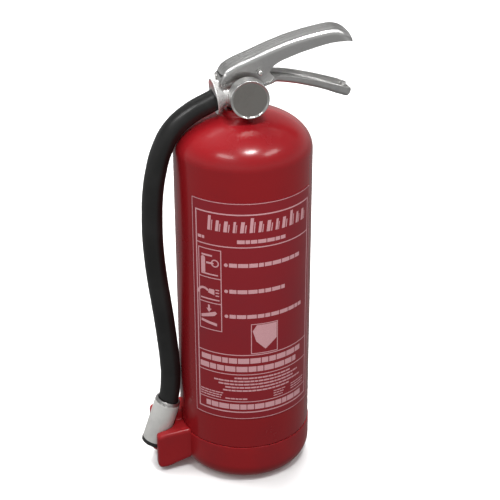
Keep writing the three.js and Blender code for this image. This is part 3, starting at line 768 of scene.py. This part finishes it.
def wrap(made, lift, thickness):
    """Bends a flat drawing in X and Z round the cylinder, and gives it a thickness."""
    pick(made)
    bpy.ops.object.mode_set(mode="EDIT")
    for angle in range(-58, 59, 2):
        bpy.ops.mesh.select_all(action="SELECT")
        bpy.ops.mesh.bisect(plane_co=(angle * degree, 0, 0), plane_no=(1, 0, 0))
    bpy.ops.object.mode_set(mode="OBJECT")
    for vertex in made.data.vertices:
        angle = vertex.co.x / label_radius
        radius = label_radius + lift
        vertex.co = (radius * math.sin(angle), -radius * math.cos(angle), vertex.co.z)
    modify(made, "SOLIDIFY", thickness=thickness, offset=1)
    return made


def patch(points):
    """Adds one flat face with these (degrees, height in mm) corners to the mesh being edited."""
    bpy.ops.mesh.select_all(action="DESELECT")
    bpy.ops.mesh.primitive_circle_add(
        vertices=len(points), radius=mm, fill_type="NGON", rotation=(math.pi / 2, 0, 0),
    )
    mesh = bmesh.from_edit_mesh(bpy.context.object.data)
    chosen = [v for v in mesh.verts if v.select]
    for vertex, (angle, height) in zip(chosen, points):
        vertex.co = (angle * degree, 0, height * mm)
    mesh.normal_update()
    for face in mesh.faces:
        if face.select and face.normal.y > 0:
            face.normal_flip()
    bmesh.update_edit_mesh(bpy.context.object.data)


def start_drawing(name):
    clear_selection()
    bpy.ops.mesh.primitive_plane_add(size=mm)
    made = bpy.context.object
    made.name = name
    bpy.ops.object.mode_set(mode="EDIT")
    bpy.ops.mesh.select_all(action="SELECT")
    bpy.ops.mesh.delete(type="VERT")
    return made


label_half = 58
label_low, label_high = 89, 356
corner = 4  # degrees, and 5.2 mm in height
film = start_drawing("label_film")
outline = [
    *arc((label_half - corner, label_high - 5.2), (corner, 5.2), 0, 90, 8),
    *arc((corner - label_half, label_high - 5.2), (corner, 5.2), 90, 180, 8),
    *arc((corner - label_half, label_low + 5.2), (corner, 5.2), 180, 270, 8),
    *arc((label_half - corner, label_low + 5.2), (corner, 5.2), 270, 360, 8),
]
patch(outline)
wrap(film, 0, 0.22 * mm)
finish_piece(film, label_film, stands_for=["label"])

# %% [markdown]
# ## Printing
# The film carries a double frame, a title band, three small pictures with a line each, a class
# mark and blocks of fine print. Words are stood for by plain bars, and the pictures are simple
# marks: a ring being drawn, a nozzle with its spray, and a lever with an arrow.


# %% Printing helpers
def bar(a0, a1, z0, z1):
    patch([(a0, z0), (a1, z0), (a1, z1), (a0, z1)])


def slanted(a0, a1, z0, z1, lean):
    patch([(a0, z0), (a1, z0), (a1 + lean, z1), (a0 + lean, z1)])


def framed(a0, a1, z0, z1, width):
    across = width / (degree / mm)
    bar(a0, a1, z1 - width, z1)
    bar(a0, a1, z0, z0 + width)
    bar(a0, a0 + across, z0 + width, z1 - width)
    bar(a1 - across, a1, z0 + width, z1 - width)


def disc(angle, height, radius, sides=16):
    across = radius / (degree / mm)
    patch(arc((angle, height), (across, radius), 0, 360 * (sides - 1) / sides, sides - 1))


def ring_mark(angle, height, radius, width, start=0, end=360, sides=16):
    """A round line, as a row of four-cornered patches."""
    def at(r, turn):
        return (
            angle + r * math.cos(turn) / (degree / mm),
            height + r * math.sin(turn),
        )
    for i in range(sides):
        a = math.radians(start + (end - start) * i / sides)
        b = math.radians(start + (end - start) * (i + 1) / sides)
        patch([at(radius - width, a), at(radius, a), at(radius, b), at(radius - width, b)])


def words(a0, a1, z0, height, seed, letter=2.2, space=1.0):
    """A line of print as bars of uneven length."""
    place, k = a0, seed
    while place < a1 - letter:
        length = letter * (1.5 + 2.2 * abs(math.sin(k * 2.399)))
        stop = min(place + length, a1)
        bar(place, stop, z0, z0 + height)
        place = stop + space
        k += 1


# %% Printing
def print_frame():
    framed(-57.2, 57.2, 90, 355, 0.7)
    framed(-53.6, 53.6, 98, 343, 1.5)


def print_title():
    place = -42
    for k in range(13):
        width = 3.0 + 1.8 * abs(math.sin(k * 1.9 + 0.6))
        tall = 17.0 if k in (0, 5, 10) else 12.6
        slanted(place, place + width * 0.62, 321.8, 321.8 + tall, 1.1)
        slanted(place + width * 0.8, place + width, 321.8, 321.8 + tall * 0.72, 0.8)
        place += width + 2.9
    words(-17, 26, 309.2, 4.2, 3, 1.9, 0.7)
    words(-51.5, -45, 310.2, 3.4, 9, 1.5, 0.6)
    bar(-53, 53, 304.0, 305.2)


def print_pictures():
    left, right = -51.2, -30
    framed(left, right, 200.5, 299.5, 1.0)
    bar(left, right, 264.3, 265.3)
    bar(left, right, 233.9, 234.9)
    # a cylinder with its ring drawn out sideways
    bar(-48.6, -44.6, 270, 287)
    disc(-46.6, 287, 2.6)
    bar(-48.0, -38, 290.4, 292.4)
    ring_mark(-35.6, 283, 4.6, 1.3)
    slanted(-43.6, -38.6, 281.4, 283.6, 0)
    patch([(-38.6, 280.4), (-36.4, 282.6), (-38.6, 284.8)])
    bar(-48.6, -33, 268.2, 269.8)
    # a hose with its nozzle and spray
    ring_mark(-46.5, 244, 8.4, 2.6, 40, 185, 12)
    patch([(-42.4, 246.5), (-41.2, 251.5), (-36.4, 251.4), (-36.4, 244.6)])
    for k in range(3):
        slanted(-35.4, -32.2, 243.4 + 3.6 * k, 244.8 + 3.6 * k, 0)
    bar(-49.5, -32, 238, 239.6)
    # a lever pressed down on its handle
    patch([(-49.4, 214), (-49.4, 217.5), (-36, 224.5), (-34.4, 222.5), (-36.5, 219)])
    patch([(-49.4, 212.5), (-49.4, 209.5), (-34.5, 206.5), (-34.5, 209.8)])
    bar(-42.6, -40.8, 226.4, 231.4)
    patch([(-44.2, 227), (-41.7, 222.4), (-39.2, 227)])


def print_steps():
    for k, height in enumerate((281, 249.5, 219)):
        disc(-26.2, height + 2.2, 2.1)
        words(-23.6, (43, 24, 44)[k], height, 4.6, 4 * k + 1, 2.2, 0.8)


def print_class_mark():
    framed(-6, 17.5, 174.5, 212, 0.9)
    patch([(-4.6, 203), (-1, 210.4), (16.4, 210.4), (16.4, 191), (6.4, 179.5), (-1.5, 190)])


def print_small():
    for height, width in ((172.4, 1.1), (147.4, 1.0), (112, 1.0)):
        bar(-53, 53, height, height + width)
    words(-50, 46, 162.2, 6.6, 2, 2.6, 0.8)
    words(-51.5, 40, 151.6, 6.8, 7, 2.6, 0.8)
    for k, (a0, a1) in enumerate(((-20, 32), (-38, 40), (-34, 36), (-28, 43), (-30, 30))):
        words(a0, a1, 142.4 - 4.1 * k, 1.9, 5 * k, 1.3, 0.5)
    for k in range(3):
        words(-51.5, -30 - k, 121.6 - 3.1 * k, 1.4, 3 * k + 2, 1.1, 0.5)
        words(14, 27 - 2 * k, 121.6 - 3.1 * k, 1.2, 3 * k + 5, 1.1, 0.5)
        words(32, 50 - k, 122.6 - 3.1 * k, 1.2, 3 * k + 8, 1.1, 0.5)
    words(-28, -8, 115.4, 1.6, 6, 1.1, 0.5)
    words(-46, 45, 102.4, 6.6, 4, 2.4, 0.7)


printing = start_drawing("label_printing")
for draw_part in (
    print_frame, print_title, print_pictures, print_steps, print_class_mark, print_small,
):
    draw_part()
wrap(printing, 0.26 * mm, 0.05 * mm)
finish_piece(printing, pale_ink)

# %% [markdown]
# ## Valve casting
# The valve's body is one casting with bores, so the CAD solid already holds its shape. A copy has
# its loose triangles merged, is remeshed finely and smoothed, which rounds every edge and corner as
# sand casting and tumbling do.


# %% Valve casting
def cast_copy(node, name, voxel, passes):
    made = bpy.data.objects.new(name, nodes[node].data.copy())
    bpy.context.scene.collection.objects.link(made)
    pick(made)
    bpy.ops.object.mode_set(mode="EDIT")
    bpy.ops.mesh.select_all(action="SELECT")
    bpy.ops.mesh.remove_doubles(threshold=0.002 * mm)
    bpy.ops.object.mode_set(mode="OBJECT")
    modify(made, "REMESH", mode="VOXEL", voxel_size=voxel)
    modify(made, "SMOOTH", factor=0.5, iterations=passes)
    return made


valve = cast_copy("valve_body", "valve_casting", 0.55 * mm, 5)
finish_piece(valve, cast_metal, stands_for=["valve_body"], angle=180)

# %% [markdown]
# ## Front cap
# A turned cap screws into the barrel. Its face is plain and grey inside a bright raised rim. The
# section is spun about the barrel's axis, and the two surfaces get their own finish.

# %% Front cap
cap_face = cap_box[0].y
cap_radius = (cap_box[1].x - cap_box[0].x) / 2
cap_back = cap_box[1].y
rim_width, rim_height = 1.5 * mm, 1.0 * mm
spigot = 14 * mm
barrel_face = cap_back - 8 * mm
cap_origin = (cap_centre.x, 0, cap_centre.z)
cap = spun("front_cap_disc", rounded([
    (0, cap_face + rim_height),
    (cap_radius - rim_width - 1.6 * mm, cap_face + rim_height, 0),
    (cap_radius - rim_width - 0.4 * mm, cap_face + rim_height, 0.6 * mm),
    (cap_radius - rim_width + 0.2 * mm, cap_face, 0.6 * mm),
    (cap_radius, cap_face, 0.9 * mm),
    (cap_radius, barrel_face, 0.4 * mm),
    (spigot, barrel_face),
    (spigot, cap_back),
    (0, cap_back),
]), origin=cap_origin, up=(0, 1, 0), steps=128)
finish_piece(cap, turned_cap, stands_for=["front_cap"])
cap.data.materials.append(bright_steel)
rim_from = cap_radius - rim_width - 0.9 * mm
for face in cap.data.polygons:
    offset = face.center - Vector(cap_origin)
    if math.hypot(offset.x, offset.z) > rim_from and face.center.y < cap_face + 1.2 * mm:
        face.material_index = 1

# %% [markdown]
# ## Squeeze lever
# The lever is a cast grip of even wall: a crown with lengthwise ribs, rounded shoulders and flat
# sides that reach down round the valve. A grid is the sheet it is made of. Its rows follow the
# crown from the nose to the tail, and its columns run from one lower edge up over the crown to the
# other. Solidify gives the wall.


# %% Grip shapes
def through(points, count):
    """Evenly counted points on a smooth curve through the given ones (Catmull-Rom)."""
    padded = [points[0] * 2 - points[1], *points, points[-1] * 2 - points[-2]]
    line = []
    for i in range(count + 1):
        place = (len(points) - 1) * i / count
        k = min(int(place), len(points) - 2)
        t = place - k
        a, b, c, d = padded[k : k + 4]
        line.append(0.5 * (
            2 * b + (c - a) * t + (2 * a - 5 * b + 4 * c - d) * t ** 2
            + (3 * b - a - 3 * c + d) * t ** 3
        ))
    return line


def grip_sheet(name, pairs, section, rows, plan):
    """A grid folded into a grip.

    pairs: the side view, as (crown x, crown z, edge x, edge z) in mm, from the nose to the tail.
    section: (share of half width, depth below the crown) pairs, from the middle to the shoulder.
    plan: gives the half width at a place along X.
    """
    stations = through([Vector(p) * mm for p in pairs], rows)
    wall_steps = 6
    columns = 2 * (len(section) - 1 + wall_steps)
    clear_selection()
    bpy.ops.mesh.primitive_grid_add(x_subdivisions=columns, y_subdivisions=rows, size=mm)
    made = bpy.context.object
    made.name = name
    for i, station in enumerate(stations):
        crown, edge = Vector(station[:2]), Vector(station[2:])
        before = stations[max(i - 1, 0)]
        after = stations[min(i + 1, rows)]
        run = Vector(after[:2]) - Vector(before[:2])
        down = Vector((-run.y, run.x)).normalized()
        if down.dot(edge - crown) < 0:
            down = -down
        reach = (edge - crown).dot(down)
        drop = section[-1][1]
        scale = min(1.0, 0.7 * reach / drop)
        half = plan(crown.x)
        row = [(share * half, crown + down * depth * scale) for share, depth in section]
        shoulder_point = row[-1][1]
        half_edge = min(half, plan(edge.x))
        for k in range(1, wall_steps + 1):
            t = k / wall_steps
            row.append((half + (half_edge - half) * t, shoulder_point.lerp(edge, t)))
        line = [(-y, p) for y, p in reversed(row[1:])] + row
        for j, (y, place) in enumerate(line):
            made.data.vertices[i * (columns + 1) + j].co = (place.x, y, place.y)
    return made


grip_half = 15 * mm
grip_wall = 2.2 * mm


def nose_plan(start, end, least):
    """Gives the half width at a place along X, which closes round the nose in an ellipse."""
    def plan(x):
        share = min(max((x - start) / (end - start), 0), 1)
        return least + (grip_half - least) * math.sqrt(1 - share ** 2.4)

    return plan


def shoulder(flat, depth, drop, steps):
    """The rounded side of a section whose middle is flat this far out."""
    points = []
    for k in range(1, steps + 1):
        turn = math.pi / 2 * k / steps
        y = flat + (grip_half - flat) * math.sin(turn)
        points.append((y / grip_half, depth + drop * (1 - math.cos(turn))))
    return points


crown_ribs = 7.6 * mm  # the ribbed part of the crown reaches this far to each side
rib_pitch = 5 * mm
rib_depth = 1.0 * mm
crown_drop = 7.0 * mm  # how far the rounded shoulder comes down


def crown_section():
    """Ribs across the middle, then a rounded shoulder."""
    points = []
    for k in range(17):
        y = crown_ribs * k / 16
        wave = (1 - math.cos(2 * math.pi * y / rib_pitch)) / 2
        points.append((y / grip_half, rib_depth * wave))
    return points + shoulder(crown_ribs, points[-1][1], crown_drop, 12)


lever_pairs = [
    (117.0, 498.8, 115.8, 498.7), (115.7, 503.2, 113.8, 499.9), (111.6, 509.2, 110.0, 501.2),
    (104.5, 514.6, 104.5, 501.6), (96, 517.2, 95.5, 501.3), (86, 516.7, 86, 500.0),
    (74, 514.6, 74.5, 497.2), (60, 511.7, 61, 493.6), (46, 508, 47.2, 489),
    (35, 504.4, 36.5, 484.8), (26, 501.2, 29.8, 480.2), (19, 498.5, 25.2, 474),
    (12.5, 495.9, 19.8, 468.2), (7, 493.7, 15, 464.2), (1.5, 491.6, 9.2, 465.2),
    (-3, 489.9, 4.2, 470.4), (-8, 488, -2, 472.8), (-13, 485.6, -9.5, 471.8),
    (-18.4, 482.6, -14.5, 468.8), (-23.2, 478.4, -18, 465), (-25.6, 473.5, -20.6, 462.6),
    (-26.4, 467.5, -22.4, 461.3), (-25.4, 463, -24, 461.2),
]

# %% Squeeze lever
hinge = Vector(joints["lever_squeeze"]["pos_m"])
pin_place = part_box("safety_pin")
pin_x = (pin_place[0].x + pin_place[1].x) / 2
pin_z = (pin_place[0].z + pin_place[1].z) / 2
lever_plan = nose_plan(103 * mm, 117.6 * mm, 4.5 * mm)
lever = grip_sheet("lever_grip", lever_pairs, crown_section(), 120, lever_plan)


def walled(made):
    pick(made)
    bpy.ops.object.mode_set(mode="EDIT")
    bpy.ops.mesh.select_all(action="SELECT")
    bpy.ops.mesh.normals_make_consistent(inside=False)
    bpy.ops.object.mode_set(mode="OBJECT")
    return modify(made, "SOLIDIFY", thickness=grip_wall, offset=-1, use_even_offset=True)


walled(lever)


def cross_rod(radius, x, z, reach=0.03):
    line = [(0, -reach), (radius, -reach), (radius, reach), (0, reach)]
    return spun("rod", line, origin=(x, 0, z), up=(0, 1, 0), steps=40)


pin_hole = 3.3 * mm
hinge_hole = 2.6 * mm
tail_slot = 12.8 * mm  # half of its width
cut(lever, cross_rod(pin_hole, pin_x, pin_z))
cut(lever, cross_rod(hinge_hole, hinge.x, hinge.z))
cut(lever, boxed("tail_slot", (-0.04, -tail_slot, 0.44), (-0.018, tail_slot, 0.474)))
striker = extruded("striker", rounded([
    (-3.5 * mm, 0.4895), (-3.5 * mm, 0.487), (-3.5 * mm, 0.4835, 3 * mm), (3.5 * mm, 0.4835, 3 * mm),
    (3.5 * mm, 0.487), (3.5 * mm, 0.4905),
]), -7 * mm, 7 * mm)
joined(lever, striker)
finish_piece(lever, cast_metal, "lever", ["squeeze_lever"], angle=38)

# %% [markdown]
# ## Carrying handle
# The fixed handle under the lever is the same kind of sheet turned over: a channel open at the
# top. Its pairs follow the underside, with the rims above, and low ribs run along its floor. Two
# cheeks carry it past the valve to the hinge pin.

# %% Carrying handle
handle_pairs = [
    (116.4, 446.4, 115.4, 449.0), (114.6, 442.6, 114.0, 449.5), (110.8, 440.5, 110.8, 450.5),
    (104.5, 442.4, 104.5, 452.5), (98.7, 444.5, 98.7, 454.4), (91, 447.6, 91, 456.8),
    (83.3, 450.4, 83.3, 459.1), (75.5, 453, 75.8, 461.2), (68, 455.1, 68.6, 463.1),
    (60, 457.3, 61, 465), (52.9, 459, 54, 466.5), (41, 461.2, 42, 468.5),
    (34, 462.1, 34, 468.6), (29, 461.6, 29, 464.4), (25, 460.4, 25, 461.4),
    (22, 458.8, 22, 459.8),
]
channel_flat = 10.5 * mm  # the channel's floor is flat this far to each side
channel_drop = 4.0 * mm
channel_section = [(k / 8 * channel_flat / grip_half, 0.0) for k in range(9)]
channel_section += shoulder(channel_flat, 0.0, channel_drop, 8)
handle_plan = nose_plan(104 * mm, 117.0 * mm, 6 * mm)
handle = grip_sheet("handle_channel", handle_pairs, channel_section, 90, handle_plan)
walled(handle)
cheek_outline = [
    (-27, 461.2), (-20, 460.8), (-13, 459.4), (12, 459.4), (20, 458), (31.5, 461.4),
    (31.5, 467.6), (28.4, 470.2), (26.2, 474), (24.6, 477.2), (20.2, 478), (20.2, 468),
    (18.6, 465.2), (12.6, 465.2), (11, 468), (11, 474.6), (-8, 474.6), (-19, 472.4),
    (-24.5, 471.6), (-27.6, 468.6),
]
cheek_inner, cheek_outer = 10.4 * mm, 12.4 * mm


def cheek(side):
    corners = [(x * mm, z * mm, 1.2 * mm) for x, z in cheek_outline]
    line = rounded([corners[-1], *corners, corners[0]], 3)[1:-1]
    made = extruded("cheek", line, side * cheek_inner, side * cheek_outer)
    cut(made, cross_rod(hinge_hole, hinge.x, hinge.z))
    return soft_edges(made, 0.35 * mm, 2)


def floor_rib(y):
    """A low rib that follows the channel's floor."""
    line = through([Vector(p[:2]) * mm for p in handle_pairs[2:12]], 24)
    top = [(p.x, p.y + grip_wall + 0.9 * mm) for p in line]
    low = [(p.x, p.y + 1.0 * mm) for p in reversed(line)]
    made = extruded("rib", top + low, y - 0.8 * mm, y + 0.8 * mm)
    return soft_edges(made, 0.4 * mm, 2)


joined(handle, cheek(-1), cheek(1), *(floor_rib(y * mm) for y in (-7.5, -2.5, 2.5, 7.5)))
finish_piece(handle, cast_metal, "cylinder", ["carry_handle"], angle=38)

# %% [markdown]
# ## Pins and pull ring
# The hinge pin is a plain rod with rounded ends. The safety pin ends in a bright ball on the
# label side and in a head with an eye on the other, and the ring hangs from the eye.

# %% Pins and pull ring
def torus(name, centre, major, minor, steps, turn):
    clear_selection()
    bpy.ops.mesh.primitive_torus_add(
        major_radius=major, minor_radius=minor, major_segments=steps, minor_segments=16,
        location=centre, rotation=turn,
    )
    bpy.ops.object.transform_apply(location=True, rotation=True, scale=False)
    made = bpy.context.object
    made.name = name
    return made


hinge_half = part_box("hinge_pin")[1].y
hinge_line = rounded([
    (0, -hinge_half), (2.5 * mm, -hinge_half, 1.2 * mm), (2.5 * mm, hinge_half, 1.2 * mm),
    (0, hinge_half),
])
hinge_rod = spun("hinge_rod", hinge_line, (hinge.x, 0, hinge.z), (0, 1, 0), 48)
finish_piece(hinge_rod, cast_metal, "cylinder", ["hinge_pin"])

pin_radius = 3 * mm
pin_start = pin_place[0].y + pin_radius
eye_y = 22.3 * mm
pin_line = [
    *arc((0, pin_start), (pin_radius, pin_radius), -90, 0, 12),
    *rounded([
        (pin_radius, 0),
        (pin_radius, 15.6 * mm, 0.3 * mm),
        (5 * mm, 15.6 * mm, 0.8 * mm),
        (5 * mm, 18.4 * mm, 0.8 * mm),
        (2.4 * mm, 18.8 * mm, 0.8 * mm),
        (2.2 * mm, 20 * mm),
        (0, 20 * mm),
    ]),
]
safety_pin = spun("safety_pin_rod", pin_line, (pin_x, 0, pin_z), (0, 1, 0), 64)
eye = torus("eye", (pin_x, eye_y, pin_z), 3.3 * mm, 1.1 * mm, 48, (0, math.pi / 2, 0))
joined(safety_pin, eye)
finish_piece(safety_pin, bright_steel, "pin", ["safety_pin"], angle=50)

ring_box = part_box("pull_ring")
ring_wire = (ring_box[1].y - ring_box[0].y) / 2
ring_major = (ring_box[1].x - ring_box[0].x) / 2 - ring_wire
ring_centre = (ring_box[0] + ring_box[1]) / 2
pull_ring = torus(
    "pull_ring_wire", ring_centre, ring_major, ring_wire, 96, (math.pi / 2, 0, 0)
)
finish_piece(pull_ring, bright_steel, "ring", ["pull_ring"], angle=50)

# %% [markdown]
# ## Hose collar
# The collar is a bell that the hose is pressed into. A fine groove is turned in its waist, and its
# mouth opens to a thin bright lip.

# %% Hose collar
outlet_drop = math.radians(8)
outlet_out = in_hose_plane(math.cos(outlet_drop), -math.sin(outlet_drop))
collar_mouth = in_hose_plane(31 * mm, 447.73 * mm)
collar = spun("collar_cup", rounded([(r * mm, h * mm, f * mm) for r, h, f in (
    (5.8, -17, 0), (10.4, -17, 0), (11.4, -16, 0.6), (11.7, -13, 0.3), (11.2, -12.6, 0.2),
    (11.2, -11.8, 0.2), (11.8, -11.4, 0.3), (12, -9.5, 1.5), (14.6, -6, 3), (16.8, -3, 3),
    (19.1, -0.9, 0.6), (19.5, 0, 0.4), (18.6, 0.4, 0.3), (17.5, -1, 0.6), (15.8, -3, 2),
    (13.6, -6, 2), (11, -9.5, 0.5), (5.8, -10, 0), (5.8, -17, 0),
)]), collar_mouth, outlet_out, 96)
finish_piece(collar, collar_metal, "cylinder", ["hose_collar"])

# %% [markdown]
# ## Nozzle
# A pale alloy tube with a stepped rim where the hose enters and a rubber ring round its mouth. Its
# bore narrows to the jet and opens again to the mouth.

# %% Nozzle
nozzle_length = 54.5 * mm
nozzle_radius = 15 * mm
nozzle_tube = spun("nozzle_tube", rounded([
    (11.8 * mm, -nozzle_length, 0),
    (nozzle_radius, -nozzle_length, 0.4 * mm),
    (nozzle_radius, -4 * mm, 0.5 * mm),
    (12.4 * mm, -4 * mm, 0.2 * mm),
    (12.4 * mm, -16 * mm, 0),
    (4.5 * mm, -20 * mm, 1 * mm),
    (4.5 * mm, -25 * mm, 2 * mm),
    (11.8 * mm, -nozzle_length, 0),
]), nozzle_rim, nozzle_up, 96)
finish_piece(nozzle_tube, nozzle_alloy, "cylinder", ["nozzle_body"])

nozzle_ring = spun("nozzle_rim_rings", rounded([(r * mm, h * mm, f * mm) for r, h, f in (
    (12.4, -3.7, 0), (14.8, -3.7, 0.3), (14.8, -2.7, 0.3), (14.1, -2.5, 0.15), (14.1, -2.1, 0.15),
    (14.6, -1.9, 0.3), (14.6, -1.0, 0.3), (13.8, -0.8, 0.2), (13.5, 0, 0.3), (12.4, 0, 0.3),
    (12.4, -3.7, 0),
)]), nozzle_rim, nozzle_up, 96)
finish_piece(nozzle_ring, cast_metal, "cylinder", ["nozzle_ferrule"])

nozzle_rubber = spun("nozzle_rubber_ring", rounded([(r * mm, h * mm, f * mm) for r, h, f in (
    (11.8, -54.8, 0), (15.3, -54.8, 0.6), (15.3, -59.3, 1.0), (12.1, -59.3, 0.6),
    (11.8, -54.8, 0),
)]), nozzle_rim, nozzle_up, 96)
finish_piece(nozzle_rubber, seal_rubber, "cylinder", ["nozzle_tip"])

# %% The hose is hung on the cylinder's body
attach(hose, "cylinder")
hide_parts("hose")

# %% [markdown]
# ## Inner pieces
# The stem, spring, seals, gland and siphon keep their CAD solids, whose shapes are right, and get
# their own finishes.

# %% Inner pieces
inner_finishes = {
    "neck_seal": seal_rubber,
    "cap_seal": seal_rubber,
    "stem_seal": seal_rubber,
    "poppet_seal": seal_rubber,
    "stem_nut": brass,
    "siphon_adapter": brass,
    "hose_nipple": brass,
    "valve_stem": bright_steel,
    "handle_screw": bright_steel,
    "valve_spring": spring_steel,
    "siphon_tube": tube_plastic,
}
for name, material in inner_finishes.items():
    nodes[name].data.materials.clear()
    nodes[name].data.materials.append(material)
print("CAD nodes shown:", [n for n, o in nodes.items() if not o.hide_render])

# %% [markdown]
# ## Floor and lights
# A plain white floor in a grey studio. The big soft lights only light the surfaces, and aren't
# mirrored in them. What the metal mirrors is the graded grey round the set, a bright strip overhead
# and small soft lights in front, which make the glints on the dome.

# %% Floor and lights
clear_selection()
bpy.ops.mesh.primitive_plane_add(size=12, location=(0, 2, 0))
floor = bpy.context.object
floor.name = "floor"
floor_finish = finish("floor_white", (0.86, 0.86, 0.86), 0.9, Specular_IOR_Level=0.1)
floor.data.materials.append(floor_finish)


def soft_light(name, place, target, size, power):
    data = bpy.data.lights.new(name, "AREA")
    data.shape = "RECTANGLE"
    data.size, data.size_y = size
    data.energy = power
    made = bpy.data.objects.new(name, data)
    bpy.context.scene.collection.objects.link(made)
    made.location = place
    made.rotation_euler = (Vector(target) - Vector(place)).to_track_quat("-Z", "Y").to_euler()
    return made


def hidden_in_mirrors(made):
    made.visible_glossy = False
    return made


hidden_in_mirrors(floor).visible_diffuse = False
hidden_in_mirrors(soft_light("overhead", (-0.7, 0.5, 1.9), (0, 0, 0.2), (1.2, 1.2), 30))
hidden_in_mirrors(soft_light("front_fill", (-0.9, -1.6, 1.2), (0, 0, 0.25), (1.4, 1.4), 8))
hidden_in_mirrors(soft_light("backdrop", (0.3, 2.8, 2.4), (0.1, 2.6, 0), (3.5, 2.5), 190))
soft_light("strip", (-0.1, 0.55, 1.35), (0, 0, 0.4), (0.9, 0.1), 0.8)
soft_light("glint", (0.09, -0.6, 1.5), (0, 0, 0.4), (0.26, 0.1), 11)
soft_light("left_wing", (-0.8, -0.75, 1.5), (0, 0, 0.3), (0.6, 0.22), 5.5)
soft_light("right_wing", (0.8, -0.7, 1.5), (0, 0, 0.3), (0.6, 0.22), 4.5)


def grey_world(down, up, between):
    """A grey world graded by height, with its levels straight down, straight up and between."""
    world = bpy.data.worlds.new("studio")
    world.use_nodes = True
    tree = world.node_tree
    direction = tree.nodes.new("ShaderNodeTexCoord")
    height = tree.nodes.new("ShaderNodeSeparateXYZ")
    grade = tree.nodes.new("ShaderNodeValToRGB")
    ramp = grade.color_ramp
    ramp.interpolation = "EASE"
    ramp.elements[0].color = (down, down, down, 1)
    ramp.elements[1].color = (up, up, up, 1)
    for position, level in between:
        ramp.elements.new(position).color = (level, level, level, 1)
    half = tree.nodes.new("ShaderNodeMath")
    half.operation = "MULTIPLY_ADD"
    half.inputs[1].default_value = 0.5
    half.inputs[2].default_value = 0.5
    tree.links.new(direction.outputs["Generated"], height.inputs["Vector"])
    tree.links.new(height.outputs["Z"], half.inputs[0])
    tree.links.new(half.outputs[0], grade.inputs["Fac"])
    tree.links.new(grade.outputs["Color"], tree.nodes["Background"].inputs["Color"])
    return world


bpy.context.scene.world = grey_world(0.2, 0.22, ((0.42, 0.34), (0.54, 0.6), (0.75, 0.32)))
bpy.context.scene.view_settings.view_transform = "Standard"
